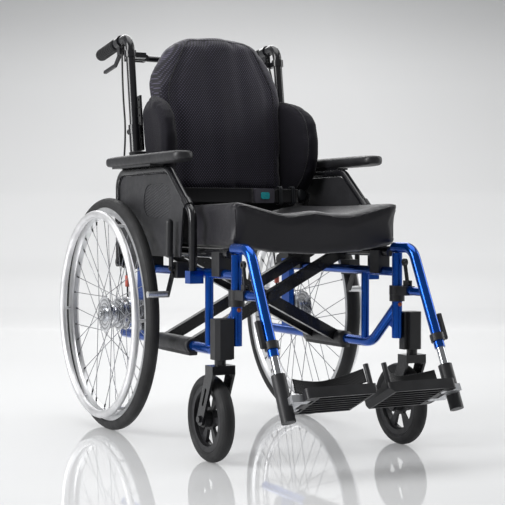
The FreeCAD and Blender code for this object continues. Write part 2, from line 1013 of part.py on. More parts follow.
def spoke(k, count):
    """One spoke, from its flange to the rim bed, leaning forward or back by turns."""
    outer_flange = k % 2 == 0
    leading = (k // 2) % 2 == 0
    angle = 360 * k / count
    lean = d.spoke_lean_degrees if leading else -d.spoke_lean_degrees
    flange = d.hub_flange_inner if outer_flange else d.drum_flange_inner
    rim_of = d.hub_flange_radius if outer_flange else d.drum_flange_radius
    side = flange + d.hub_flange_thickness if leading else flange
    hole = rim_of + d.spoke_radius + d.seat_gap
    stagger = d.rim_bed_half_width / 3 if outer_flange else -d.rim_bed_half_width / 3
    stagger += d.spoke_rim_step if leading else -d.spoke_rim_step
    start = Vector(side, 0, 0) + Rotation(X, angle + lean).multVec(Z) * hole
    end = Vector(d.wheel_half + stagger, 0, 0) + Rotation(X, angle).multVec(Z) * (
        d.rim_bed_radius - d.spoke_gap
    )
    centre = at(0, 0, d.wheel_radius)
    item = doc.addObject("Part::Cylinder", "spoke")
    bind(item, Radius="spoke_radius")
    item.Height = (end - start).Length
    item.Placement = Placement(centre + start, Rotation(Z, end - start))
    return item


# Caster: fork with its stem, solid tyre, spoked core
def slot_outline(centre, along, length, width):
    """A round-ended slot as an outline, long way on the unit direction along."""
    ax, az = along
    reach, r = (length - width) / 2, width / 2

    def place(u, v):
        return (centre[0] + u * ax - v * az, centre[1] + u * az + v * ax)

    return [
        place(-reach, -r),
        place(reach, -r),
        place(reach + r, 0) + place(reach, r),
        place(-reach, r),
        place(-reach - r, 0) + place(-reach, -r),
    ]


def caster():
    c, stem_y, wheel_y = d.caster_half, -d.stem_forward, -d.caster_forward
    side = d.blade_inner + d.blade_thickness
    crown = block(
        "fork_crown",
        "2 * (blade_inner + blade_thickness)",
        "2 * crown_half_depth",
        "crown_head - crown_foot",
        at(c - side, stem_y - d.crown_half_depth, d.crown_foot),
    )
    washer = rod(
        "fork_washer",
        "stem_washer_radius",
        "housing_foot - crown_head - seat_gap",
        at(c, stem_y, d.crown_head),
    )
    stem = rod("fork_stem", "pin_radius", "stem_head - crown_head", at(c, stem_y, d.crown_head))
    run = Vector(stem_y - wheel_y, d.crown_foot - d.caster_radius, 0).normalize()
    r = d.blade_end_radius
    outline = [
        (stem_y - d.crown_half_depth, d.crown_head),
        (stem_y - d.crown_half_depth, d.crown_foot),
        (wheel_y - r * run.y, d.caster_radius + r * run.x),
        (wheel_y - r * run.x, d.caster_radius - r * run.y)
        + (wheel_y + r * run.y, d.caster_radius - r * run.x),
        (stem_y + d.crown_half_depth, d.crown_foot),
        (stem_y + d.crown_half_depth, d.crown_head),
    ]
    middle = ((stem_y + wheel_y) / 2, (d.crown_foot + d.caster_radius) / 2)
    slot = slot_outline(middle, (run.x, run.y), d.blade_slot_length, d.blade_slot_width)
    blades = []
    for name, x in (
        ("inner_blade", c - d.blade_inner - d.blade_thickness / 2),
        ("outer_blade", c + d.blade_inner + d.blade_thickness / 2),
    ):
        body = new_body(name, Placement(at(x, 0, 0), Rotation()))
        base = sketch(body, "YZ_Plane", outline_edges(outline) + outline_edges(slot))
        pad(body, base, "blade_thickness", symmetric=True)
        blades.append(body)
    bolt = rod(
        "caster_bolt",
        "caster_bolt_radius",
        "2 * (blade_inner + blade_thickness)",
        at(c - side, wheel_y, d.caster_radius),
        X,
    )
    heads = [
        rod("caster_bolt_head", "bolt_head_radius", "bolt_head_height", at(x, wheel_y, d.caster_radius), X)
        for x in (c + side, c - side - d.bolt_head_height)
    ]
    left["caster_fork"] = fused("caster_fork_left", crown, washer, stem, *blades, bolt, *heads)

    centre = Placement(at(0, wheel_y, d.caster_radius), Rotation())
    crest = d.caster_radius - d.caster_section
    seat, w, s = d.caster_seat_radius, d.caster_core_half_width, d.caster_section
    left["caster_tyre"] = turned(
        "caster_tyre_left",
        [
            (c - w, seat),
            (c - s, crest),
            (c, d.caster_radius, c + s, crest),
            (c + w, seat),
        ],
        centre,
    )
    inner, bore = d.caster_ring_radius, d.caster_bolt_radius + d.running_gap
    felloe = turned(
        "caster_felloe",
        [(c - w, inner), (c - w, seat - d.seat_gap), (c + w, seat - d.seat_gap), (c + w, inner)],
        centre,
    )
    hw, hub_r = d.caster_hub_half_width, d.caster_hub_radius
    hub = turned("caster_hub", [(c - hw, bore), (c - hw, hub_r), (c + hw, hub_r), (c + hw, bore)], centre)
    web = new_body("caster_web", Placement(at(c, wheel_y, d.caster_radius), Rotation()))
    rings = [
        Part.Circle(Vector(), Vector(0, 0, 1), (inner + seat) / 2),
        Part.Circle(Vector(), Vector(0, 0, 1), (hub_r + bore) / 2),
    ]
    pad(web, sketch(web, "YZ_Plane", rings), "caster_web", symmetric=True)
    half = math.pi / d.caster_spokes * d.caster_window_share
    r1, r2 = d.caster_window_inner, d.caster_window_outer

    def polar(r, angle):
        return (r * math.sin(angle), r * math.cos(angle))

    window = [
        polar(r1, -half),
        polar(r2, -half),
        polar(r2, 0) + polar(r2, half),
        polar(r1, half),
        polar(r1, 0) + polar(r1, -half),
    ]
    hole = sketch(web, "YZ_Plane", outline_edges(window), lift=d.caster_web / 2 + d.overrun)
    opening = pocket(web, hole, "caster_web + 2 * overrun")
    pattern = web.newObject("PartDesign::PolarPattern", "caster_windows")
    pattern.Originals = [opening]
    pattern.Axis = (hole, ["N_Axis"])
    pattern.Angle = 360
    bind(pattern, Occurrences="caster_spokes")
    web.Tip = pattern
    left["caster_core"] = fused("caster_core_left", felloe, hub, web)


# Swing-away hanger with its hook, release latch and height clamp
AXIS = Vector(0, math.sin(slant), math.cos(slant))
hanger_end = at(d.frame_half, hanger_end_y, d.hanger_foot)
SLANT_TURN = Rotation(X, -d.hanger_slant_degrees)


def along_hanger(distance):
    """A place on the hanger tube's axis, this far below its open end."""
    return hanger_end - AXIS * distance


def hanger():
    x, post_y = d.frame_half, -d.post_forward
    tube = bent_tube(
        "hanger_pipe",
        [
            at(x, -d.post_forward + d.hanger_rear_reach, hanger_height),
            at(x, -d.post_forward - d.hanger_corner_reach, hanger_height),
            hanger_end,
        ],
        [d.hanger_bend],
        "tube_radius",
    )
    hook_foot = d.collar_foot + d.collar_height + d.seat_gap
    hook_middle = hook_foot + d.hook_height / 2
    pin = rod(
        "hanger_pin",
        "pin_radius",
        "pin_depth - overrun + seat_gap + tube_radius",
        at(x, post_y, d.post_head - d.pin_depth + d.overrun),
    )
    hook_ring = rod(
        "hook_ring",
        "tube_radius + slide_gap + hook_wall",
        "hook_height",
        at(x, post_y, hook_foot),
    )
    hook_block = block(
        "hook_block",
        "2 * hook_half_width",
        "hook_reach",
        "hook_height",
        at(x - d.hook_half_width, -d.post_forward - d.hook_reach, hook_foot),
    )
    tube_y = -d.post_forward - d.hanger_corner_reach - (hanger_height - hook_middle) * math.tan(slant)
    spigot = rod(
        "spigot",
        "spigot_radius",
        -d.post_forward - d.hook_reach - tube_y,
        at(x, tube_y, hook_middle),
        Y,
    )
    ears = [
        block(
            "latch_ear",
            "latch_ear",
            "2 * (latch_pivot_radius + latch_ear)",
            "latch_lift + latch_pivot_radius + latch_ear + overrun",
            at(x + ear_x, -d.post_forward - d.latch_reach - d.latch_pivot_radius - d.latch_ear, hook_top(-d.overrun)),
        )
        for ear_x in (
            d.latch_width / 2 + d.slide_gap,
            -d.latch_width / 2 - d.slide_gap - d.latch_ear,
        )
    ]
    ear_pin = rod(
        "latch_pin",
        "latch_pivot_radius",
        "latch_width + 2 * slide_gap + 2 * latch_ear",
        at(x - d.latch_width / 2 - d.slide_gap - d.latch_ear, -d.post_forward - d.latch_reach, hook_top(d.latch_lift)),
        X,
    )
    clamp = rod(
        "height_clamp",
        "tube_radius + clamp_wall",
        "clamp_length",
        along_hanger(-d.clamp_rise),
        AXIS,
    )
    body = fused("hanger_body", tube, pin, hook_ring, hook_block, spigot, *ears, ear_pin, clamp)
    post_bore = rod(
        "post_bore",
        "tube_radius + slide_gap",
        "hook_height + 2 * overrun",
        at(x, post_y, hook_foot - d.overrun),
    )
    bore = rod(
        "extension_bore",
        "extension_radius + slide_gap",
        "hanger_bore_depth + overrun",
        along_hanger(d.overrun),
        AXIS,
    )
    left["hanger_tube"] = cut("hanger_tube_left", body, post_bore, bore)

    lean = Rotation(X, -d.latch_lean_degrees)
    foot = at(x, -d.post_forward - d.latch_reach, hook_top(d.latch_lift))
    top = foot + lean.multVec(Z) * d.latch_length
    strip = block(
        "latch_strip",
        "latch_width",
        "latch_thickness",
        "latch_length",
        foot - X * (d.latch_width / 2) - lean.multVec(Y) * (d.latch_thickness / 2),
        lean,
    )
    eye = rod("latch_eye", "latch_eye_radius", "latch_width", top - X * (d.latch_width / 2), X)
    boss = rod(
        "latch_boss",
        "latch_pivot_radius + overrun",
        "latch_width",
        foot - X * (d.latch_width / 2),
        X,
    )
    holes = [
        rod("latch_eye_hole", "latch_eye_bore", "2 * latch_width", top - X * d.latch_width, X),
        rod("latch_bore", "latch_pivot_radius + running_gap", "2 * latch_width", foot - X * d.latch_width, X),
    ]
    left["hanger_latch"] = cut("hanger_latch_left", fused("latch_body", strip, eye, boss), *holes)

    out = d.tube_radius + d.clamp_wall + d.seat_gap
    corner = along_hanger(-d.clamp_rise - d.clamp_length / 2)
    corner = corner + X * out - SLANT_TURN.multVec(Y) * (d.clamp_lever_width / 2)
    left["clamp_lever"] = fused(
        "clamp_lever_left",
        block(
            "clamp_lever_strip",
            "clamp_lever_depth",
            "clamp_lever_width",
            "clamp_lever_length",
            corner,
            SLANT_TURN,
        ),
        rod(
            "clamp_lever_boss",
            "clamp_lever_width / 2",
            "clamp_lever_depth",
            along_hanger(-d.clamp_rise - d.clamp_length / 2) + X * out,
            X,
        ),
    )


def hook_top(lift):
    """The height of the hook's upper face, plus a lift."""
    return d.collar_foot + d.collar_height + d.seat_gap + d.hook_height + lift


# Footrest extension, footplate and heel strap
plate_origin = along_hanger(plate_foot) - X * d.frame_half


def plate_point(x, behind, up):
    """A place in the footplate: up from its underside, behind the hanger tube's line."""
    return plate_origin + SLANT_TURN.multVec(Vector(x, behind, up))


def footrest():
    x = d.frame_half
    tube = rod(
        "extension",
        "extension_radius",
        "extension_inside + socket_end",
        along_hanger(d.socket_end),
        AXIS,
    )
    socket = rod(
        "extension_socket",
        "socket_radius",
        "socket_end - socket_start",
        along_hanger(d.socket_end),
        AXIS,
    )
    reach = d.knuckle_half_length + d.slide_gap + d.ear_length
    hinge_up = d.knuckle_radius
    bridge = block(
        "bracket_bridge",
        "frame_half - bracket_inner",
        "2 * (knuckle_half_length + slide_gap + ear_length)",
        "2 * knuckle_radius",
        plate_point(d.bracket_inner, -reach, hinge_up - d.knuckle_radius),
        SLANT_TURN,
    )
    pieces = [tube, socket, bridge]
    for behind in (-reach, d.knuckle_half_length + d.slide_gap):
        pieces.append(
            block(
                "bracket_arm",
                "bracket_inner - hinge_half + overrun",
                "ear_length",
                "2 * knuckle_radius",
                plate_point(d.hinge_half, behind, hinge_up - d.knuckle_radius),
                SLANT_TURN,
            )
        )
        pieces.append(
            rod(
                "bracket_ear",
                "knuckle_radius",
                "ear_length",
                plate_point(d.hinge_half, behind, hinge_up),
                SLANT_TURN.multVec(Y),
            )
        )
    pieces.append(
        rod(
            "plate_pin",
            "hinge_pin_radius",
            "2 * (knuckle_half_length + slide_gap + ear_length)",
            plate_point(d.hinge_half, -reach, hinge_up),
            SLANT_TURN.multVec(Y),
        )
    )
    bore = rod(
        "extension_hollow",
        "extension_bore",
        "extension_inside + overrun",
        along_hanger(0),
        AXIS,
    )
    left["footrest_tube"] = cut("footrest_tube_left", fused("footrest_body", *pieces), bore)


def footplate():
    inner, outer = d.plate_inner_half, d.plate_outer_half
    depth, r = d.plate_half_depth, d.plate_corner_radius
    notch, notch_x = d.plate_notch_half, d.plate_notch_inner
    near = r * (1 - math.sqrt(0.5))
    outline = [
        (inner, -depth + r),
        (inner + near, -depth + near, inner + r, -depth),
        (outer - r, -depth),
        (outer - near, -depth + near, outer, -depth + r),
        (outer, -notch),
        (notch_x, -notch),
        (notch_x, notch),
        (outer, notch),
        (outer, depth - r),
        (outer - near, depth - near, outer - r, depth),
        (inner + r, depth),
        (inner + near, depth - near, inner, depth - r),
    ]
    body = new_body("plate_tray", Placement(plate_origin, SLANT_TURN))
    pad(body, sketch(body, "XY_Plane", outline_edges(outline)), "plate_thickness")
    cells = []
    start, end = inner + d.plate_taper + d.plate_rim, notch_x - d.plate_rim
    count = int(d.plate_ribs) + 1
    pitch = (2 * (depth - d.plate_rim) + d.plate_rib) / count
    for k in range(count):
        low = -depth + d.plate_rim + k * pitch
        high = low + pitch - d.plate_rib
        cells += outline_edges([(start, low), (end, low), (end, high), (start, high)])
    pocket(body, sketch(body, "XY_Plane", cells), "plate_thickness - plate_skin", reversed_=True)
    knuckle = rod(
        "plate_knuckle",
        "knuckle_radius",
        "2 * knuckle_half_length",
        plate_point(d.hinge_half, -d.knuckle_half_length, d.knuckle_radius),
        SLANT_TURN.multVec(Y),
    )
    neck = block(
        "knuckle_neck",
        "hinge_half - plate_notch_inner + overrun",
        "2 * knuckle_half_length",
        "2 * knuckle_radius",
        plate_point(notch_x - d.overrun, -d.knuckle_half_length, 0),
        SLANT_TURN,
    )
    peg_x = inner + d.peg_inset
    peg = rod(
        "heel_peg",
        "peg_radius",
        "peg_height + plate_skin",
        plate_point(peg_x, -d.peg_forward, d.plate_thickness - d.plate_skin),
        AXIS,
    )
    solid = fused("plate_body", body, knuckle, neck, peg)
    tilt = SLANT_TURN.multiply(Rotation(Y, 45))
    taper_corner = plate_point(inner - d.overrun, -depth - d.overrun, d.plate_taper + d.overrun)
    taper = block(
        "plate_taper",
        "2 * plate_taper",
        "2 * (plate_half_depth + overrun)",
        "plate_taper",
        taper_corner - tilt.multVec(Z) * d.plate_taper,
        tilt,
    )
    bore = rod(
        "knuckle_bore",
        "hinge_pin_radius + running_gap",
        "2 * (knuckle_half_length + overrun)",
        plate_point(d.hinge_half, -d.knuckle_half_length - d.overrun, d.knuckle_radius),
        SLANT_TURN.multVec(Y),
    )
    left["footplate"] = cut("footplate_left", solid, taper, bore)

    start = (d.strap_start_half, -d.strap_start_forward)
    middle = (d.strap_middle_half, d.strap_middle_behind)
    end = (d.strap_end_half, 0)
    band = new_body(
        "heel_strap_left",
        Placement(plate_point(0, 0, d.plate_thickness + d.strap_lift), SLANT_TURN),
    )
    profile = sketch(band, "XY_Plane", arc_band(start, middle, end, d.strap_thickness))
    pad(band, profile, "strap_width")
    left["heel_strap"] = band


def arc_band(start, middle, end, thickness):
    """A curved strip of even thickness about the arc through three points."""
    circle = Part.Circle(Vector(*start, 0), Vector(*middle, 0), Vector(*end, 0))
    centre, r = circle.Center, circle.Radius

    def shifted(point, by):
        out = (Vector(*point, 0) - centre).normalize() * (r + by)
        return (centre.x + out.x, centre.y + out.y)

    h = thickness / 2
    return outline_edges(
        [
            shifted(start, h),
            shifted(middle, h) + shifted(end, h),
            shifted(end, -h),
            shifted(middle, -h) + shifted(start, -h),
        ]
    )


# Folding cross brace with the seat rails
brace_rise = d.seat_rail_height - d.lower_height
brace_angle = math.atan2(brace_rise, 2 * d.frame_half)
brace_length = math.hypot(brace_rise, 2 * d.frame_half)


def brace(name, side, reach):
    """One pair of bars from the lower tube on this side up to the rail on the other."""
    foot_x, rail_x = side * d.frame_half, -side * d.frame_half
    run = Vector(-side * math.cos(brace_angle), 0, math.sin(brace_angle))
    turn = Rotation(Y, -math.degrees(math.atan2(run.z, run.x)))
    pieces, bores = [], []
    for middle in (-d.brace_forward - reach, -d.brace_forward + reach):
        foot = at(foot_x, middle, d.lower_height)
        low = turn.multVec(Vector(0, 0, d.brace_bar_height / 2))
        bar = doc.addObject("Part::Box", "brace_bar")
        bind(bar, Width="brace_bar_thickness", Height="brace_bar_height")
        bar.Length = brace_length * d.brace_end_share
        bar.Placement = Placement(foot - low - Y * (d.brace_bar_thickness / 2), turn)
        collar = rod(
            "brace_collar",
            "tube_radius + slide_gap + brace_wall",
            "brace_collar_length",
            foot - Y * (d.brace_collar_length / 2),
            Y,
        )
        pieces += [bar, collar]
        bores.append(
            rod(
                "lower_tube_bore",
                "tube_radius + slide_gap",
                "2 * brace_collar_length",
                foot - Y * d.brace_collar_length,
                Y,
            )
        )
    rail = rod(
        "seat_rail",
        "side_tube_radius",
        "seat_rail_front_forward - seat_rail_rear_forward",
        at(rail_x, -d.seat_rail_front_forward, d.seat_rail_height),
        Y,
    )
    return pieces + [rail], bores


def cross_brace():
    pieces, bores = brace("brace_a", -1, d.brace_outer_reach)
    height = d.lower_height + brace_rise / 2
    half = d.brace_bar_thickness / 2
    span = d.brace_outer_reach - d.brace_inner_reach + d.brace_bar_thickness
    for sign in (-1, 1):
        outer = -d.brace_forward + sign * (d.brace_outer_reach + half)
        inner = -d.brace_forward + sign * (d.brace_inner_reach - half - d.brace_gap)
        direction = Y * -sign
        pieces.append(
            rod("brace_bolt", "brace_bolt_radius", span + d.brace_gap, at(0, outer, height), direction)
        )
        pieces.append(
            rod("brace_bolt_head", "brace_bolt_head", "brace_bolt_head_height", at(0, outer, height), -direction)
        )
        pieces.append(
            rod("brace_nut", "brace_bolt_head", "brace_bolt_head_height", at(0, inner, height), direction)
        )
    shared["brace_a"] = cut("brace_a", fused("brace_a_body", *pieces), *bores)
    pieces, bores = brace("brace_b", 1, d.brace_inner_reach)
    bores.append(
        rod(
            "brace_bolt_bore",
            "brace_bolt_radius + running_gap",
            "2 * (brace_outer_reach + brace_bar_thickness)",
            at(0, -d.brace_forward - d.brace_outer_reach - d.brace_bar_thickness, height),
            Y,
        )
    )
    shared["brace_b"] = cut("brace_b", fused("brace_b_body", *pieces), *bores)


# Backrest canes, push handles, hand brake levers and stabiliser bar
def back_post():
    sleeve = rod(
        "cane_sleeve",
        "sleeve_radius",
        "sleeve_length - overrun - seat_gap",
        cane_point(d.cane_half, 0, d.overrun + d.seat_gap),
        CANE_UP,
    )
    collar = rod(
        "sleeve_collar",
        "sleeve_collar_radius",
        "sleeve_collar_height",
        cane_point(d.cane_half, 0, d.sleeve_length - d.sleeve_collar_height),
        CANE_UP,
    )
    knob_start = d.sleeve_collar_radius - d.overrun
    knob = rod(
        "sleeve_knob",
        "sleeve_knob_radius",
        "sleeve_knob_length + overrun",
        cane_point(d.cane_half, knob_start, d.sleeve_length - d.sleeve_collar_height / 2),
        CANE_BACK,
    )
    tube = fused("cane_sleeve_body", sleeve, collar, knob)
    bore = rod(
        "cane_sleeve_bore",
        "cane_radius + slide_gap",
        "sleeve_length",
        cane_point(d.cane_half, 0, d.overrun),
        CANE_UP,
    )
    rail = block(
        "mount_rail",
        "mount_rail_thickness",
        "mount_rail_width",
        "mount_rail_length",
        cane_point(
            d.cane_half - d.sleeve_collar_radius - d.seat_gap - d.mount_rail_thickness,
            -d.mount_rail_width / 2,
            d.mount_rail_foot,
        ),
        CANE_TURN,
    )
    return tube, bore, rail


def handles():
    tube, bore, rail = back_post()
    drilled = []
    for k in range(int(d.mount_holes)):
        up = d.mount_rail_foot + d.mount_rail_length * (k + 0.5) / d.mount_holes
        drilled.append(
            rod(
                "mount_hole",
                "mount_hole_radius",
                "3 * mount_rail_thickness",
                cane_point(
                    d.cane_half - d.sleeve_collar_radius - 2 * d.mount_rail_thickness,
                    0,
                    up,
                ),
                X,
            )
        )
    rail = cut("drilled_mount_rail", rail, *drilled)
    left["back_post"] = group("back_post_left", cut("bored_cane_sleeve", tube, bore), rail)

    x = d.cane_half
    cane = bent_tube(
        "cane_pipe",
        [
            cane_point(x, 0, d.sleeve_length - d.cane_insert),
            cane_point(x, 0, cane_top),
            cane_point(x, d.grip_end, cane_top),
        ],
        [d.cane_bend],
        "cane_radius",
    )
    clamp = rod(
        "lever_clamp",
        "cane_radius + housing_wall",
        "housing_length",
        cane_point(x, d.housing_start, cane_top),
        CANE_BACK,
    )
    cheeks = []
    for sign in (-1, 1):
        inner = sign * (d.lever_thickness / 2 + d.slide_gap)
        cheeks.append(
            block(
                "lever_cheek",
                "cheek_thickness",
                "lever_pivot - housing_start + lever_eye",
                "lever_drop + lever_eye",
                cane_point(
                    x + min(inner, inner + sign * d.cheek_thickness),
                    d.housing_start,
                    cane_top - d.lever_drop - d.lever_eye,
                ),
                CANE_TURN,
            )
        )
    pin = rod(
        "lever_pin",
        "lever_pin",
        "lever_thickness + 2 * slide_gap + 2 * cheek_thickness",
        cane_point(
            x - d.lever_thickness / 2 - d.slide_gap - d.cheek_thickness,
            d.lever_pivot,
            cane_top - d.lever_drop,
        ),
        X,
    )
    clearance = block(
        "lever_clearance",
        "lever_thickness + 2 * slide_gap",
        "lever_pivot + 2 * lever_eye - housing_start",
        "lever_drop + lever_eye - cane_radius - slide_gap",
        cane_point(
            x - d.lever_thickness / 2 - d.slide_gap,
            d.housing_start - d.overrun,
            cane_top - d.lever_drop - d.lever_eye,
        ),
        CANE_TURN,
    )
    clamp = cut("slotted_clamp", fused("clamp_and_cheeks", clamp, *cheeks), clearance)
    base = fused("handle_base", cane, clamp, pin)

    bar_up = cane_top - d.bar_drop
    ring_piece = rod(
        "bar_ring",
        "cane_radius + bar_ring_wall",
        "bar_ring_length",
        cane_point(x, 0, bar_up - d.bar_ring_length / 2),
        CANE_UP,
    )
    stub = block(
        "bar_stub",
        "cane_radius",
        "bar_back",
        "bar_arm_height",
        cane_point(x - d.cane_radius, 0, bar_up - d.bar_arm_height / 2),
        CANE_TURN,
    )
    r, wall = d.bar_radius + d.slide_gap, d.bar_clip_wall
    y, z = d.bar_back, bar_up
    clip = new_body("bar_clip", Placement(cane_point(d.bar_clip_half, 0, 0), CANE_TURN))
    outline = [
        (y - r, z - r / 2),
        (y - r, z),
        (y, z + r, y + r, z),
        (y + r, z - r / 2),
        (y + r + wall, z - r / 2),
        (y + r + wall, z),
        (y, z + r + wall, y - r - wall, z),
        (y - r - wall, z - r / 2),
    ]
    pad(clip, sketch(clip, "YZ_Plane", outline_edges(outline)), "bar_clip_length", symmetric=True)
    link = block(
        "bar_link",
        "cane_half - bar_clip_half",
        "bar_clip_wall",
        "bar_arm_height",
        cane_point(d.bar_clip_half, y - r - wall, bar_up - d.bar_arm_height / 2),
        CANE_TURN,
    )
    shared["push_handle_left"] = fused("push_handle_left", base, ring_piece, stub, clip, link)

    x = -d.bar_hinge_half
    eye_y = d.bar_back - d.bar_eye_half - d.slide_gap - d.bar_cheek
    cheek_pieces = []
    for back in (eye_y, d.bar_back + d.bar_eye_half + d.slide_gap):
        cheek_pieces.append(
            rod("bar_cheek", "bar_eye_radius", "bar_cheek", cane_point(x, back, bar_up), CANE_BACK)
        )
        cheek_pieces.append(
            block(
                "bar_cheek_arm",
                "cane_half - bar_hinge_half",
                "bar_cheek",
                "2 * bar_eye_radius",
                cane_point(-d.cane_half, back, bar_up - d.bar_eye_radius),
                CANE_TURN,
            )
        )
    web = block(
        "bar_web",
        "cane_half - bar_hinge_half - bar_eye_radius - slide_gap",
        "bar_back + bar_eye_half + slide_gap + bar_cheek",
        "bar_arm_height",
        cane_point(-d.cane_half, 0, bar_up - d.bar_arm_height / 2),
        CANE_TURN,
    )
    bar_pin = rod(
        "bar_pin",
        "bar_pin_radius",
        "2 * (bar_eye_half + slide_gap + bar_cheek)",
        cane_point(x, eye_y, bar_up),
        CANE_BACK,
    )
    shared["push_handle_right"] = fused(
        "push_handle_right",
        mirrored("handle_base_right", base),
        mirrored("bar_ring_right", ring_piece),
        web,
        bar_pin,
        *cheek_pieces,
    )
    bar = rod(
        "bar_pipe",
        "bar_radius",
        "bar_hinge_half + bar_end_half",
        cane_point(x, d.bar_back, bar_up),
        X,
    )
    eye = rod(
        "bar_eye",
        "bar_eye_radius",
        "2 * bar_eye_half",
        cane_point(x, d.bar_back - d.bar_eye_half, bar_up),
        CANE_BACK,
    )
    side_cut = [
        block(
            "bar_flat",
            "2 * bar_eye_radius",
            "bar_radius",
            "4 * bar_eye_radius",
            cane_point(x - d.bar_eye_radius, back, bar_up - 2 * d.bar_eye_radius),
            CANE_TURN,
        )
        for back in (d.bar_back + d.bar_eye_half, d.bar_back - d.bar_eye_half - d.bar_radius)
    ]
    bar_bore = rod(
        "bar_bore",
        "bar_pin_radius + running_gap",
        "4 * bar_eye_half",
        cane_point(x, d.bar_back - 2 * d.bar_eye_half, bar_up),
        CANE_BACK,
    )
    shared["stabiliser_bar"] = cut("stabiliser_bar", fused("bar_and_eye", bar, eye), *side_cut, bar_bore)

    x = d.cane_half
    bore_r = d.cane_radius + d.running_gap
    r, rib = d.grip_radius, d.grip_rib
    count = int(d.grip_ribs)
    start, end = d.grip_start, d.grip_end + d.overrun * 2
    pitch = (end - start) / (2 * count + 1)
    outline = [(start, bore_r), (start, r)]
    for k in range(count):
        low = start + (2 * k + 1) * pitch
        outline += [(low, r), (low, r + rib), (low + pitch, r + rib), (low + pitch, r)]
    outline += [(end, r), (end, 0), (d.grip_end + d.running_gap, 0), (d.grip_end + d.running_gap, bore_r)]
    turn = Rotation(X, CANE_BACK)
    left["handle_grip"] = turned(
        "handle_grip_left",
        outline,
        Placement(cane_point(x, 0, cane_top), turn),
    )

    px, pz = d.lever_pivot, -d.lever_drop
    e, deep, sag = d.lever_eye, d.lever_depth, -d.lever_sag
    outline = [
        (px - e / 2, pz + e - 1 * d.overrun),
        (px + e, pz + e / 2),
        (d.lever_knee, sag + deep / 2),
        (d.lever_end, sag + deep / 2),
        (d.lever_end + deep / 2, sag, d.lever_end, sag - deep / 2),
        (d.lever_knee - e / 2, sag - deep / 2),
        (px - e, pz - e / 2),
    ]
    lever = new_body("lever_blade", Placement(cane_point(x, 0, cane_top), CANE_TURN))
    pad(lever, sketch(lever, "YZ_Plane", outline_edges(outline)), "lever_thickness", symmetric=True)
    lever_bore = rod(
        "lever_bore",
        "lever_pin + running_gap",
        "2 * lever_thickness",
        cane_point(x - d.lever_thickness, px, cane_top + pz),
        X,
    )
    left["attendant_lever"] = cut("attendant_lever_left", lever, lever_bore)


